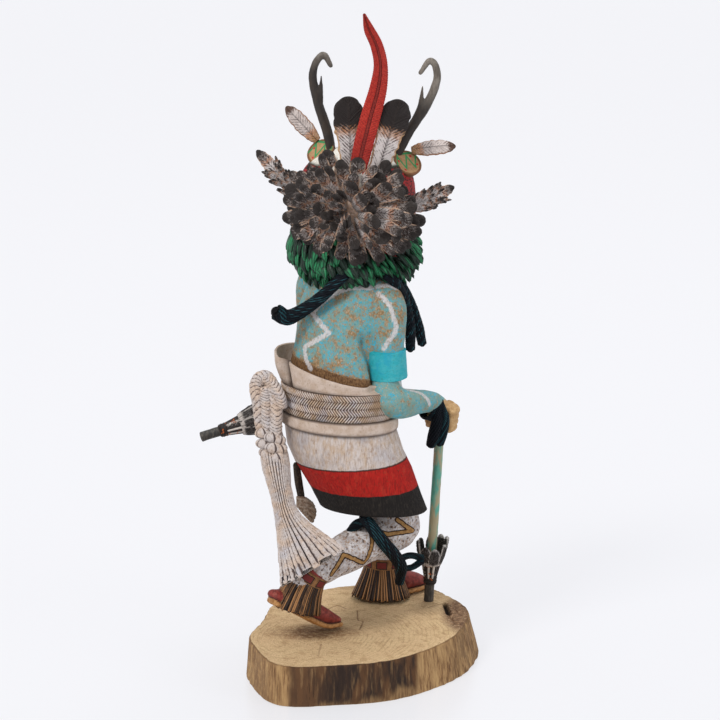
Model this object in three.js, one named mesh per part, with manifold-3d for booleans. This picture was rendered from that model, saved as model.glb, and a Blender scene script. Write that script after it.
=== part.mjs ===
// A kachina doll about 375 mm tall: a masked dancer with pronghorn horns, carved in cottonwood and painted.
// The dancer strides on a slab sawn across a trunk, leans on a cane in the right hand, and carries a second
// cane in the left. Feathers, horns, canes, yarn and sash are carved apart and set in.
//
// Millimetres. +Z is up, and the origin is the middle of the slab's underside.
// The dancer looks towards +Y and a little to +X, so its back is turned to -Y.
import * as THREE from "three";
import Module from "manifold-3d";
import { mergeVertices } from "three/addons/utils/BufferGeometryUtils.js";

const wasm = await Module();
wasm.setup();

// Driving sizes
const SLAB_THICK = 24;
const SLAB_LEAN = 6;
const GAP = 0.3;
const CUT = 0.4;
const KILT_WIDTH = 35;
const KILT_DEPTH = 26.5;
const BELT_PROUD = 1.2;
const CANE_RADIUS = 2.6;
const FACING = THREE.MathUtils.degToRad(55);
const HEAD_FACING = THREE.MathUtils.degToRad(70);
const FOOT_FACING = THREE.MathUtils.degToRad(33);

// Directions of the body, the head and the feet
const UP = new THREE.Vector3(0, 0, 1);
const RIGHTWARDS = new THREE.Vector3(1, 0, 0);
const forwards = (angle) => new THREE.Vector3(Math.cos(angle), Math.sin(angle), 0);
const BODY_FRONT = forwards(FACING);
const BODY_LEFT = UP.clone().cross(BODY_FRONT);
const HEAD_FRONT = forwards(HEAD_FACING);
const HEAD_LEFT = UP.clone().cross(HEAD_FRONT);
const FOOT_LEFT = UP.clone().cross(forwards(FOOT_FACING));

// Landmarks
const point = (x, y, z) => new THREE.Vector3(x, y, z);
const BUNCH_ROOT = point(-5.6, 9, 266);
const CANE_TOP = point(46.8, 29.4, 142.5);
const CANE_FOOT = point(40.6, 40.5, SLAB_THICK + GAP);
const LEFT_CANE_TOP = point(6, 68.5, 149.5);
const LEFT_CANE_FOOT = point(-93, 50, 122);

// A closed three.js geometry as a solid
function solid(geometry) {
  const bare = geometry.index ? geometry.toNonIndexed() : geometry.clone();
  bare.deleteAttribute("normal");
  bare.deleteAttribute("uv");
  const merged = mergeVertices(bare, 1e-3);
  return new wasm.Manifold(
    new wasm.Mesh({
      numProp: 3,
      vertProperties: merged.attributes.position.array,
      triVerts: new Uint32Array(merged.index.array),
    }),
  );
}

// A solid back as a three.js geometry
function geometryOf(shape) {
  const mesh = shape.getMesh();
  const corners = new Float32Array(mesh.numVert * 3);
  for (let i = 0; i < mesh.numVert; i++)
    corners.set(mesh.vertProperties.subarray(i * mesh.numProp, i * mesh.numProp + 3), i * 3);
  return new THREE.BufferGeometry()
    .setAttribute("position", new THREE.BufferAttribute(corners, 3))
    .setIndex(new THREE.BufferAttribute(mesh.triVerts, 1));
}

const join = (shapes) => shapes.reduce((all, shape) => all.add(shape));

// The largest body of a solid that a cut has parted
function biggest(shape) {
  const bodies = shape.decompose();
  return bodies.reduce((best, body) => (body.volume() > best.volume() ? body : best));
}

// A piece with room for its neighbours: each tool is a neighbour already grown by CUT
const fitted = (piece, ...tools) => biggest(tools.reduce((left, tool) => left.subtract(tool), piece));

// Stations blended smoothly into rows of { centre, half, slope, along }
function blended(stations, rows) {
  const spine = new THREE.CatmullRomCurve3(stations.map(([x, y, z]) => point(x, y, z)));
  const halves = new THREE.CatmullRomCurve3(stations.map(([, , , a, b]) => point(a, b ?? a, 0)));
  const slopes = new THREE.CatmullRomCurve3(stations.map(([, , , , , sx, sy]) => point(sx ?? 0, sy ?? 0, 0)));
  return Array.from({ length: rows + 1 }, (_, i) => ({
    centre: spine.getPoint(i / rows),
    half: halves.getPoint(i / rows),
    slope: slopes.getPoint(i / rows),
    along: spine.getTangent(i / rows),
  }));
}

// A body swept through rows: `placed` puts a point of the unit circle into a row, and the ends move out by `grow`
function swept(rows, sides, square, grow, placed) {
  const last = rows.length - 1;
  const geometry = new THREE.CylinderGeometry(1, 1, 1, sides, last);
  const place = geometry.attributes.position;
  const power = 1 - 0.55 * square;
  const boxy = (c) => Math.sign(c) * Math.abs(c) ** power;
  for (let i = 0; i < place.count; i++) {
    const share = Math.round((place.getY(i) + 0.5) * last);
    const row = rows[share];
    const half = point(row.half.x + grow, row.half.y + grow, 0);
    const at = placed(row, boxy(place.getX(i)) * half.x, boxy(place.getZ(i)) * half.y);
    if (share === 0) at.addScaledVector(row.along, -grow);
    if (share === last) at.addScaledVector(row.along, grow);
    place.setXYZ(i, at.x, at.y, at.z);
  }
  return solid(geometry);
}

// A limb through stations [x, y, z, half width, half depth]: sections square to its run, width along `across`,
// and `square` from 0 to 1 turns the oval section towards a box
function limb(stations, across, { sides = 12, rows = 8, square = 0, grow = 0 } = {}) {
  return swept(blended(stations, rows), sides, square, grow, (row, u, v) => {
    const side = across.clone().addScaledVector(row.along, -across.dot(row.along)).normalize();
    return row.centre.clone().addScaledVector(side, u).addScaledVector(side.cross(row.along), v);
  });
}

// A stack of level rings through stations [x, y, z, half width, half depth, slope in x, slope in y], either
// upwards or downwards
function rings(stations, across, { sides = 24, rows = 8, square = 0, grow = 0 } = {}) {
  const front = across.clone().cross(stations[0][2] < stations.at(-1)[2] ? UP : UP.clone().negate());
  return swept(blended(stations, rows), sides, square, grow, (row, u, v) => {
    const out = across.clone().multiplyScalar(u).addScaledVector(front, v);
    out.z = out.x * row.slope.x + out.y * row.slope.y;
    return row.centre.clone().add(out);
  });
}

// A feather or leaf from root to tip: `breadths` are shares of the width from root to tip, `bow` bends it
function feather(root, tip, across, { width, thick = 1.6, breadths = [0.3, 0.9, 1, 0.35], bow, sides = 4, grow }) {
  const last = breadths.length - 1;
  const stations = breadths.map((breadth, i) => {
    const at = root.clone().lerp(tip, i / last);
    if (bow) at.addScaledVector(bow, Math.sin((Math.PI * i) / last));
    return [at.x, at.y, at.z, (width / 2) * breadth, (thick / 2) * Math.max(0.55, breadth)];
  });
  return limb(stations, across, { sides, rows: last, grow });
}

const ball = (x, y, z, a, b, c, grow = 0, sides = 10) =>
  solid(
    new THREE.SphereGeometry(1, sides, Math.round(sides * 0.6)).scale(a + grow, b + grow, c + grow).translate(x, y, z),
  );

// The slab: a trunk sawn across, its bark leaning out towards the bottom on the right
function slab() {
  const outline = [
    [-63, -20], [-59, -40], [-50, -63], [-36, -71], [-12, -68.5], [12, -63], [30, -51], [47, -32], [57, -13],
    [63, 12], [62, 30], [54, 47], [43, 62], [20, 69], [-4, 68.5], [-22, 61], [-37, 51], [-52, 31], [-56, 8],
  ];
  const curve = new THREE.CatmullRomCurve3(outline.map(([x, y]) => point(x, y, 0)), true);
  const edge = curve.getPoints(44).slice(0, -1);
  const shape = new THREE.Shape(edge.map((p) => new THREE.Vector2(p.x, p.y)));
  const geometry = new THREE.ExtrudeGeometry(shape, { depth: SLAB_THICK, bevelEnabled: false, steps: 2 });
  const place = geometry.attributes.position;
  for (let i = 0; i < place.count; i++) {
    const low = 1 - place.getZ(i) / SLAB_THICK;
    const right = THREE.MathUtils.clamp(place.getX(i) / 60, -0.3, 1);
    place.setX(i, place.getX(i) + SLAB_LEAN * low * right);
  }
  return solid(geometry);
}

// The trunk from the hips to the neck, leaning forwards, with both upper arms down to their bands
function trunk(grow) {
  const chest = rings(
    [
      [-12, 10, 150, 30, 22],
      [-12.5, 11, 172, 29, 21, -0.1],
      [-11.5, 13, 192, 26.5, 19],
      [-9.5, 17, 208, 27, 19],
      [-6, 21, 222, 24, 16],
      [-5, 25, 230, 14, 12],
      [-4, 27, 243, 11.5, 11.5],
    ],
    BODY_LEFT,
    { sides: 14, rows: 7, grow },
  );
  const arm = (stations) => limb(stations, BODY_LEFT, { sides: 10, rows: stations.length - 1, grow });
  return join([
    chest,
    arm([
      [5, 12, 221, 9], [14, 5, 214, 11], [15.4, 1, 200, 10.5], [15, 0, 188, 9.8],
      [15, 0, 187.4, 10.9], [15.6, 0, 171.5, 11.3],
    ]),
    arm([
      [-18, 31, 224, 10], [-25.5, 42, 216, 11], [-27, 50, 200, 9.8], [-26.4, 54, 188, 9.2],
      [-26.3, 54.5, 187.4, 10.2], [-25, 57, 173, 10.4],
    ]),
  ]);
}

// The kilt from rim to hem: it stands off the waist, steps out at the braided belt and again at the lip below it
function kilt(grow) {
  const folds = [
    [-13, 175, 0, -0.2, 0.08], [-12.5, 165.5, -1], [-12.5, 164.5, BELT_PROUD - 1], [-12.3, 149.8, BELT_PROUD - 1],
    [-12.2, 149, BELT_PROUD], [-12, 143.5, BELT_PROUD], [-11.8, 142.5, -0.6], [-8.6, 128, 0.8],
    [-4, 118, 1.2], [3.4, 102, -1.2], [7.6, 91.5, -1.6, 0, -0.08],
  ].map(([x, z, out, ...slope]) => [x, 10, z, KILT_WIDTH + out, KILT_DEPTH + out, ...slope]);
  const cloth = rings(folds, BODY_LEFT, { sides: 18, rows: folds.length - 1, grow });
  if (grow) return cloth;
  const well = rings(
    [
      [-13, 10.5, 190, KILT_WIDTH - 2, KILT_DEPTH - 2, -0.2, 0.08],
      [-12.5, 11, 166, KILT_WIDTH - 4, KILT_DEPTH - 4],
    ],
    BODY_LEFT,
    { sides: 18, rows: 1 },
  );
  return cloth.subtract(well);
}

// Legs in crocheted leggings: the left one kneels forwards from its raised heel, the right one stands
function legs(grow) {
  const part = (stations) => limb(stations, UP, { sides: 10, rows: 4, grow });
  return join([
    part([[-31, -26, 61, 8.4], [-22, -20, 65, 9.6], [-8, -9, 70, 11.4], [7, 4, 74, 12], [20, 14, 76, 11.8]]),
    limb([[22.5, 14, 72, 9], [22, 15, 80, 12.6], [12, 14, 104, 14]], BODY_LEFT, { sides: 10, rows: 3, grow }),
    limb([[4, 22, 108, 13], [11, 36, 84, 12.5], [13, 44, 64, 10.5], [13, 47, 45, 8.4]], BODY_LEFT, {
      sides: 10,
      rows: 4,
      grow,
    }),
  ]);
}

// A moccasin: a thick sole under heel, tread and toe, an upper, a cuff up to the ankle, and a skirt of fringe
function moccasin({ sole, cuff, fringe, fringeAcross }, grow) {
  const upper = sole.map(([x, y, z, half], i) => [x, y, z + [5.5, 6.5, 6, 2.6][i], half - 0.8, [4.5, 7, 5.6, 1.8][i]]);
  return join([
    limb(sole.map(([x, y, z, half]) => [x, y, z, half, 2.2]), FOOT_LEFT, { sides: 8, rows: 3, square: 0.5, grow }),
    limb(upper, FOOT_LEFT, { sides: 8, rows: 3, grow }),
    limb(cuff, FOOT_LEFT, { sides: 10, rows: 2, grow }),
    limb(fringe, fringeAcross, { sides: 14, rows: 2, grow }),
  ]);
}

const rightFoot = (grow) =>
  moccasin(
    {
      sole: [[1, 39.5, 26.4, 6], [15, 48, 26.4, 7], [29, 57, 26.4, 7.4], [42, 65, 26.2, 3.2]],
      cuff: [[12, 47, 30, 8.4], [13, 47, 44, 9.4], [13.4, 47, 50, 9.8]],
      fringe: [[12.4, 45.5, 25, 17.5, 14], [12.8, 46.4, 36, 13, 11], [13, 47, 45, 9.8, 9.8]],
      fringeAcross: RIGHTWARDS,
    },
    grow,
  );

const leftFoot = (grow) =>
  moccasin(
    {
      sole: [[-53, -33, 50.5, 6], [-38, -23.5, 40.5, 7.2], [-23, -14, 29.5, 7.4], [-11, -6, 26.4, 3.4]],
      cuff: [[-37, -24, 46, 8.6], [-31, -23.5, 58, 9.4], [-26, -22.5, 64, 10.2]],
      fringe: [[-36, -24.5, 43.5, 14.5, 10], [-33.5, -24, 52, 11.5, 9.6], [-29.5, -23.6, 61.5, 9.4, 9.4]],
      fringeAcross: point(0.76, 0.45, -0.47),
    },
    grow,
  );

// A forearm from under its band to a fist
function forearm(stations, [x, y, z], grow) {
  return limb(stations, UP, { sides: 8, rows: 5, grow }).add(ball(x, y, z, 10.5, 7.4, 8, grow, 8));
}

const rightForearmShape = (grow) =>
  forearm(
    [[15.8, 0, 169, 8.4], [17, 2, 158, 9.6, 9], [24, 8, 152.5, 8.6], [34, 17, 149.5, 6.4], [42, 24, 147, 5.8], [47, 30, 142, 5.6]],
    [47, 31, 139],
    grow,
  );
const leftForearmShape = (grow) =>
  forearm([[-24.6, 57.5, 170.5, 8], [-23, 60, 161, 8.6], [-17, 63, 154, 7.4], [-9, 66, 149, 5.8]], [-6, 67, 146], grow);

// A cane from its grip to its foot
const cane = (top, foot, grow = 0) =>
  limb(
    [[...top.toArray(), CANE_RADIUS], [...foot.toArray(), CANE_RADIUS + 0.3]],
    Math.abs(top.z - foot.z) > 50 ? RIGHTWARDS : UP,
    { sides: 8, rows: 1, grow },
  );

// The feathers bound round the foot of a cane, pointing back up it, over a wrapped collar
function caneFeathers(top, foot, from, to) {
  const axis = top.clone().sub(foot).normalize();
  const side = axis.clone().cross(BODY_FRONT).normalize();
  const other = axis.clone().cross(side);
  const low = foot.clone().addScaledVector(axis, from);
  const along = (way, half) => [...low.clone().addScaledVector(axis, way).toArray(), half];
  const wrap = limb([along(0, 3.8), along(7, 4.8), along(15, 4.4)], side, { sides: 8, rows: 2 });
  const vanes = Array.from({ length: 4 }, (_, i) => {
    const turn = ((i + 0.5) / 4) * 2 * Math.PI;
    const out = side.clone().multiplyScalar(Math.cos(turn)).addScaledVector(other, Math.sin(turn));
    const root = low.clone().addScaledVector(axis, 8).addScaledVector(out, 3.6);
    const tip = low.clone().addScaledVector(axis, to - from).addScaledVector(out, 7.6);
    return feather(root, tip, axis.clone().cross(out), { width: 10, thick: 2.4, breadths: [0.4, 1, 0.5] });
  });
  return join([wrap, ...vanes]);
}

// The case mask: a drum that widens to its jaw, with a domed crown, a snout and two round eyes
function caseMask(grow) {
  const drum = rings(
    [
      [-4, 28, 234, 27, 23],
      [-4, 28, 246, 34, 27],
      [-3.5, 28, 262, 35, 28],
      [-2, 28, 279, 32, 27.5],
      [-1.5, 28, 289, 27, 24],
      [-1.5, 28, 296, 16, 14],
      [-1.5, 28, 298.6, 5, 4],
    ],
    HEAD_LEFT,
    { sides: 16, rows: 7, square: 0.2, grow },
  );
  const ahead = (way, side) => point(-2, 28, 0).addScaledVector(HEAD_FRONT, way).addScaledVector(HEAD_LEFT, side);
  const [root, nose] = [ahead(20, 0), ahead(46, 0)];
  const snout = limb([[root.x, root.y, 256, 11, 9], [nose.x, nose.y, 252, 8.5, 7]], HEAD_LEFT, {
    sides: 12,
    rows: 1,
    square: 0.3,
    grow,
  });
  const eyes = [-12, 12].map((side) => ball(ahead(26, side).x, ahead(26, side).y, 270, 3.6, 3.6, 3.6, grow, 8));
  return join([drum, snout, ...eyes]);
}

// The spruce collar: a full bowl of sprigs round the jaw, its lower sprigs standing clear of it
function collar(grow) {
  const bowl = rings(
    [
      [-5, 27, 259, 31, 25],
      [-5, 27, 250, 36, 30],
      [-5, 26.5, 241, 35.5, 30],
      [-4.5, 26, 232, 29, 25],
      [-5, 26, 227, 22, 18],
    ],
    HEAD_LEFT,
    { sides: 16, rows: 4, grow },
  );
  const sprigs = Array.from({ length: 12 }, (_, i) => {
    const turn = ((i + 0.5) / 12) * 2 * Math.PI;
    const out = point(Math.cos(turn), Math.sin(turn) * 0.86, 0);
    const root = point(-5, 26.5, 244).addScaledVector(out, 33.5);
    const tip = point(-5, 26.5, 230 + 3 * out.y).addScaledVector(out, 33);
    return feather(root, tip, UP.clone().cross(out), { width: 11, thick: 6, breadths: [0.6, 1, 0.2], grow });
  });
  return join([bowl, ...sprigs]);
}

// The bunch of feathers on the back of the mask, in rings that fan out from one root
function featherBunch(grow) {
  const back = HEAD_FRONT.clone().negate();
  const fans = [
    { count: 14, tilt: 4, length: 37, width: 13 },
    { count: 10, tilt: 28, length: 34, width: 13 },
    { count: 6, tilt: 52, length: 31, width: 12 },
    { count: 3, tilt: 76, length: 27, width: 11 },
  ];
  const vanes = [];
  for (const { count, tilt, length, width } of fans)
    for (let i = 0; i < count; i++) {
      const turn = ((i + tilt / 56) / count) * 2 * Math.PI;
      const rise = THREE.MathUtils.degToRad(tilt);
      const flat = HEAD_LEFT.clone().multiplyScalar(Math.cos(turn) * 1.12).addScaledVector(UP, Math.sin(turn) * 0.86);
      const out = flat.multiplyScalar(Math.cos(rise)).addScaledVector(back, Math.sin(rise));
      const root = BUNCH_ROOT.clone().addScaledVector(out, 7);
      const tip = BUNCH_ROOT.clone().addScaledVector(out, length);
      const spin = out.clone().cross(back).normalize();
      vanes.push(feather(root, tip, spin, { width, thick: 3, breadths: [0.5, 1, 0.5], grow }));
    }
  const { x, y, z } = BUNCH_ROOT;
  return join([ball(x, y, z, 28, 17, 23, grow, 10), ...vanes]);
}

// A pronghorn horn, hooked at its tip, with one prong
const horn = (stations, prong, grow) =>
  limb(stations, HEAD_FRONT, { sides: 6, rows: 9, grow }).add(limb(prong, HEAD_FRONT, { sides: 5, rows: 2, grow }));

const leftHornShape = (grow) =>
  horn(
    [
      [-15, 28, 290, 3], [-18.6, 28, 310, 3], [-23.8, 28, 323, 2.7], [-26.6, 28, 336, 2.4],
      [-25.2, 28, 345, 2.1], [-20.4, 28, 350.5, 1.9], [-16.4, 28, 344.5, 1.5],
    ],
    [[-22.4, 28, 318, 1.8], [-22, 27.5, 329, 1.5], [-21.7, 27, 338.5, 0.5]],
    grow,
  );
const rightHornShape = (grow) =>
  horn(
    [
      [17, 24, 286, 3], [27.5, 24, 309, 3], [37.5, 24, 322, 2.6], [43, 24, 336, 2.3],
      [42.2, 24, 344.8, 2], [38.6, 24, 347.6, 1.9], [33.8, 24, 341, 1.4],
    ],
    [[28.5, 24, 310, 2], [33.5, 23.5, 321, 1.8], [35, 23, 333.5, 0.5]],
    grow,
  );

// A squash-blossom ear: a short cone whose wide end looks up and back
function blossom(face, lean, grow) {
  const at = (way, half) => [...face.clone().addScaledVector(lean, way).toArray(), half];
  return limb([at(-11, 5), at(-2.5, 8), at(0, 8.2)], RIGHTWARDS, { sides: 12, rows: 2, grow });
}

const leftBlossomShape = (grow) =>
  blossom(point(-22.5, 27, 296), point(-0.42, -0.62, 0.66).normalize(), grow);
const rightBlossomShape = (grow) =>
  blossom(point(27, 20, 291), point(0.36, -0.62, 0.7).normalize(), grow);

// The tall red feather at the crown
function redFeather(grow) {
  const stations = [
    [-2.5, 3.5, 284, 4.4], [1.5, 4, 302, 5.4], [6, 4, 320, 5.5], [10, 4, 335, 4.9],
    [11.4, 4, 348, 3.9], [9.2, 4, 359, 3.5], [5, 4, 368, 2.9], [2.4, 4, 376, 0.9],
  ].map(([x, y, z, half]) => [x, y, z, half, Math.min(1.7, half)]);
  return limb(stations, RIGHTWARDS, { sides: 6, rows: 10, grow });
}

// The yarn skein round the neck: its fold swings out on the left, and its ends hang on the right
function neckYarn() {
  const strand = (stations, rows) => limb(stations, RIGHTWARDS, { sides: 7, rows });
  return join([
    limb(
      [
        [12, 0, 226, 3.2], [4, -2, 228, 3.6], [-7, -3, 226, 3.8], [-20, -1, 219.5, 4],
        [-33, 4, 211.5, 4.3], [-41, 3, 205, 4.6], [-47.5, 1, 208.5, 4.4],
      ],
      UP,
      { sides: 8, rows: 8 },
    ),
    strand([[9, -1, 226.5, 3.2], [19, 5, 226, 3.4], [25.5, 13, 220, 3.4], [24.5, 18, 213, 3.2], [26, 17, 198, 2.8], [25, 16, 184, 2.6]], 6),
    strand([[21, 11, 227, 2.6], [28, 19, 212, 2.6], [33, 21, 197, 2.6], [35.5, 21, 185, 2.2]], 4),
  ]);
}

// The yarn tied above the left knee: a stub behind, the long end, and a loop blown ahead
function kneeYarn() {
  return join([
    limb([[3, -9, 89, 3], [-4, -7, 87, 3.4], [-9.5, -5, 81, 2.6]], RIGHTWARDS, { sides: 6, rows: 3 }),
    limb(
      [
        [1, -10, 92, 3.4], [6, -10.5, 88, 4.4], [13.5, -9, 77.5, 4.6], [20, 0, 66.5, 4.6],
        [25, 9, 56, 4.3], [25.5, 14, 47.5, 3.6], [25, 17, 40.5, 3],
      ],
      RIGHTWARDS,
      { sides: 7, rows: 7 },
    ),
    limb([[22, 7, 60, 3], [29, 15, 60, 3], [35.5, 20, 56.5, 2.6]], UP, { sides: 6, rows: 3 }),
  ]);
}

// The yarn wound round the right wrist, with two loops hanging
function wristYarn() {
  return join([
    limb([[37.5, 20.5, 148.4, 7.4], [43, 24, 146.4, 7.8]], UP, { sides: 10, rows: 1 }),
    limb([[44, 20, 150, 3], [45, 17, 142, 4.4], [42.5, 17.5, 131, 4.8], [40.5, 18.5, 122.5, 3]], RIGHTWARDS, {
      sides: 7,
      rows: 4,
    }),
    limb([[46, 20, 149, 3], [49, 18, 141, 4], [47.5, 18.5, 131, 4.4], [46, 19.5, 122.5, 3]], RIGHTWARDS, {
      sides: 7,
      rows: 4,
    }),
  ]);
}

// The rain sash: a folded head on the hip, a neck of balls, and cords that fan out behind
function rainSash() {
  const fan = point(0.93, -0.05, 0.3).normalize();
  const cords = limb(
    [
      [-51.5, 7, 175, 6, 5], [-51.5, 6.5, 168, 9.2, 6.5], [-49.5, 4, 153.5, 7.5, 5], [-48, 1, 137.5, 7, 4.6],
      [-46.3, -4, 121.8, 7, 4.4], [-42, -12, 106, 7.4, 4], [-35.5, -23.5, 89, 11, 3.4], [-26, -38, 69, 21, 2.6],
    ],
    fan,
    { sides: 8, rows: 8 },
  );
  const balls = [[-57.5, -1, 138], [-57.5, -2.5, 130], [-45, -4.5, 135.5], [-45, -6.5, 128]];
  return join([cords, ...balls.map(([x, y, z]) => ball(x, y, z, 4.6, 3.6, 3.6, 0, 7))]);
}

// The short tassel between the sash and the kilt's open side
const sideTassel = () =>
  limb([[-35, 14, 121, 2.4], [-34.5, 15, 108, 2.6], [-32.5, 15, 98, 4.4], [-27.5, 14, 90, 4.4]], BODY_FRONT, {
    sides: 7,
    rows: 4,
  });

const figureShape = (grow) => join([trunk(grow), kilt(grow), legs(grow), rightFoot(grow), leftFoot(grow)]);
const belowSlab = solid(new THREE.BoxGeometry(200, 200, 60).translate(0, 0, SLAB_THICK + GAP - 30));

// Every piece grown by CUT, to cut its neighbours with
const tool = {
  mask: caseMask(CUT),
  figure: figureShape(CUT),
  collar: collar(CUT),
  bunch: featherBunch(CUT),
  horns: leftHornShape(CUT).add(rightHornShape(CUT)),
  plume: redFeather(CUT),
  blossoms: leftBlossomShape(CUT).add(rightBlossomShape(CUT)),
  forearms: rightForearmShape(CUT).add(leftForearmShape(CUT)),
  canes: cane(CANE_TOP, CANE_FOOT, CUT).add(cane(LEFT_CANE_TOP, LEFT_CANE_FOOT, CUT)),
};

const eagle = (tip, root) =>
  fitted(
    feather(root, tip, RIGHTWARDS, { width: 15.5, thick: 2, breadths: [0.35, 0.55, 0.8, 1, 0.95, 0.45], sides: 6 }),
    tool.plume,
    tool.bunch,
    tool.mask,
    tool.horns,
  );
const smallFeather = (root, tip, width, across) =>
  fitted(
    feather(root, tip, across, { width, thick: 2, breadths: [0.3, 0.7, 1, 0.8, 0.25] }),
    tool.blossoms,
    tool.mask,
    tool.horns,
    tool.bunch,
  );

const doll = new THREE.Group();

function add(name, color, shape, roughness = 0.7) {
  const mesh = new THREE.Mesh(
    geometryOf(shape),
    new THREE.MeshStandardMaterial({ color, roughness, metalness: 0 }),
  );
  mesh.name = name;
  doll.add(mesh);
}

const TAN = 0xc6a77c;
const NAVY = 0x141b2b;
const QUILL = 0x4a4340;
const HORN = 0x35332f;
const TURQUOISE = 0x55a9ad;
const COTTON = 0xcfc4b8;
const CANE_GREEN = 0x6fb59d;

add("base_slab", TAN, slab());
add("figure", TURQUOISE, fitted(figureShape(0), tool.mask, belowSlab));
add("case_mask", 0x9c2c2a, caseMask(0));
add("spruce_collar", 0x14603c, fitted(collar(0), tool.mask, tool.figure));
add("feather_bunch", QUILL, fitted(featherBunch(0), tool.mask, tool.collar));
add("red_feather", 0xb22a24, fitted(redFeather(0), tool.mask, tool.bunch));
add("eagle_feather_left", 0xd8d0c8, eagle(point(-7, 10, 330), point(-5, 7, 284)));
add("eagle_feather_right", 0xd8d0c8, eagle(point(22.5, 8, 328.5), point(8, 6, 284)));
add("horn_left", HORN, fitted(leftHornShape(0), tool.mask), 0.5);
add("horn_right", HORN, fitted(rightHornShape(0), tool.mask), 0.5);
add("blossom_ear_left", TAN, fitted(leftBlossomShape(0), tool.mask, tool.horns, tool.bunch));
add("blossom_ear_right", TAN, fitted(rightBlossomShape(0), tool.mask, tool.horns, tool.bunch));
add("blossom_feather_left", 0xcdbfb4, smallFeather(point(-24, 33, 301), point(-42, 42, 319), 7, point(0.6, 0, 0.8)));
add("blossom_feather_right", 0xcdbfb4, smallFeather(point(29, 24, 297), point(54, 27, 299), 7, UP));
add("ear_feather_left", QUILL, smallFeather(point(-33, 22, 270), point(-58.5, 30, 296), 11, UP));
add("ear_feather_right", QUILL, smallFeather(point(28, 13, 266), point(53, 16, 278), 10, UP));
add("neck_yarn", NAVY, fitted(neckYarn(), tool.figure, tool.collar));
add("forearm_right", TURQUOISE, fitted(rightForearmShape(0), tool.figure, tool.canes));
add("forearm_left", TURQUOISE, fitted(leftForearmShape(0), tool.figure, tool.canes));
add("cane_right", CANE_GREEN, cane(CANE_TOP, CANE_FOOT).subtract(belowSlab));
add("cane_left", CANE_GREEN, cane(LEFT_CANE_TOP, LEFT_CANE_FOOT));
add("cane_feathers_right", 0x2b201c, fitted(caneFeathers(CANE_TOP, CANE_FOOT, 15, 41), tool.canes, tool.figure));
add("cane_feathers_left", 0x2b201c, fitted(caneFeathers(LEFT_CANE_TOP, LEFT_CANE_FOOT, 14, 41), tool.canes));
add("wrist_yarn", NAVY, fitted(wristYarn(), tool.forearms, tool.canes));
add("knee_yarn", NAVY, fitted(kneeYarn(), tool.figure));
add("rain_sash", COTTON, fitted(rainSash(), tool.figure));
add("side_tassel", COTTON, fitted(sideTassel(), tool.figure));

export default doll;
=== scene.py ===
"""A carved and painted kachina doll, striding on a slab of cottonwood and seen from behind.

Laid out as a Blender add-on and run as a script. Sizes are millimetres in the frame of the part: +Z is up,
the origin is the middle of the slab's underside, and the doll's back is turned to -Y.
"""

import itertools
import math
import random

import bmesh
import bpy
import numpy as np
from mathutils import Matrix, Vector
from mathutils.bvhtree import BVHTree


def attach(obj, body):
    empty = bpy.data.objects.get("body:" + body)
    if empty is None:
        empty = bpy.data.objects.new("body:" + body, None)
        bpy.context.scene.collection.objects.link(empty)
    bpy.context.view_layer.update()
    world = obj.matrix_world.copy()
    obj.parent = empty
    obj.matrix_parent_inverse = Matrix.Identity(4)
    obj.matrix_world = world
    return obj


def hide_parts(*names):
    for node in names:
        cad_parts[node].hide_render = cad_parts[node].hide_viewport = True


bl_info = {
    "name": "Kachina Doll",
    "version": (1, 0, 0),
    "blender": (4, 5, 0),
    "location": "View3D > Sidebar > Kachina Doll",
    "description": "Carves and paints a kachina doll with its cane, feathers, horns, sash and slab",
    "category": "Add Mesh",
}

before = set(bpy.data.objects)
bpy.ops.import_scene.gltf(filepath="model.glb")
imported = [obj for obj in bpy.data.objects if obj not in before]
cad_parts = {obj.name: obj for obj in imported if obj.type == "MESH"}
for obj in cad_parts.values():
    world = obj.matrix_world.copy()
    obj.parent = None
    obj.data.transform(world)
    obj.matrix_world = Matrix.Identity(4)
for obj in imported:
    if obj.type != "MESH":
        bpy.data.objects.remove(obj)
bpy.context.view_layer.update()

MM = 0.001
MERGE = 1e-7
TAU = 2 * math.pi
SLAB_TOP = 24.0
VALUES = ("across", "along", "tone", "mark")

# Directions of the body, the head and the feet
UP = np.array([0.0, 0.0, 1.0])
RIGHTWARDS = np.array([1.0, 0.0, 0.0])


def heading(degrees):
    """A level direction, turned from +X towards +Y."""
    angle = math.radians(degrees)
    return np.array([math.cos(angle), math.sin(angle), 0.0])


BODY_FRONT = heading(55)
BODY_LEFT = heading(145)
HEAD_FRONT = heading(70)
HEAD_LEFT = heading(160)
FOOT_LEFT = heading(123)

# Outlines and lines through the doll, as rows of x, y, z and half widths
SLAB_OUTLINE = [
    (-63, -20), (-59, -40), (-50, -63), (-36, -71), (-12, -68.5), (12, -63), (30, -51), (47, -32), (57, -13),
    (63, 12), (62, 30), (54, 47), (43, 62), (20, 69), (-4, 68.5), (-22, 61), (-37, 51), (-52, 31), (-56, 8),
]
CHEST = [
    (-12, 10, 150, 30, 22), (-12.5, 11, 172, 29, 21), (-11.5, 13, 192, 26.5, 19), (-9.5, 17, 208, 27, 19),
    (-6, 21, 222, 24, 16), (-5, 25, 230, 14, 12), (-4, 27, 243, 11.5, 11.5),
]
UPPER_ARMS = {
    "right": [
        (5, 12, 221, 9), (14, 5, 214, 11), (15.4, 1, 200, 10.5), (15, 0, 188, 9.8), (15.3, 0, 179, 9.6),
    ],
    "left": [
        (-18, 31, 224, 10), (-25.5, 42, 216, 11), (-27, 50, 200, 9.8), (-26.4, 54, 188, 9.2),
        (-26, 55, 180, 9),
    ],
}
ARM_BANDS = {
    "right": [(15, 0, 187.4, 10.9), (15.3, 0, 179.5, 11.1), (15.6, 0, 171.5, 11.3)],
    "left": [(-26.3, 54.5, 187.4, 10.2), (-25.7, 55.5, 180, 10.3), (-25, 57, 173, 10.4)],
}
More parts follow.
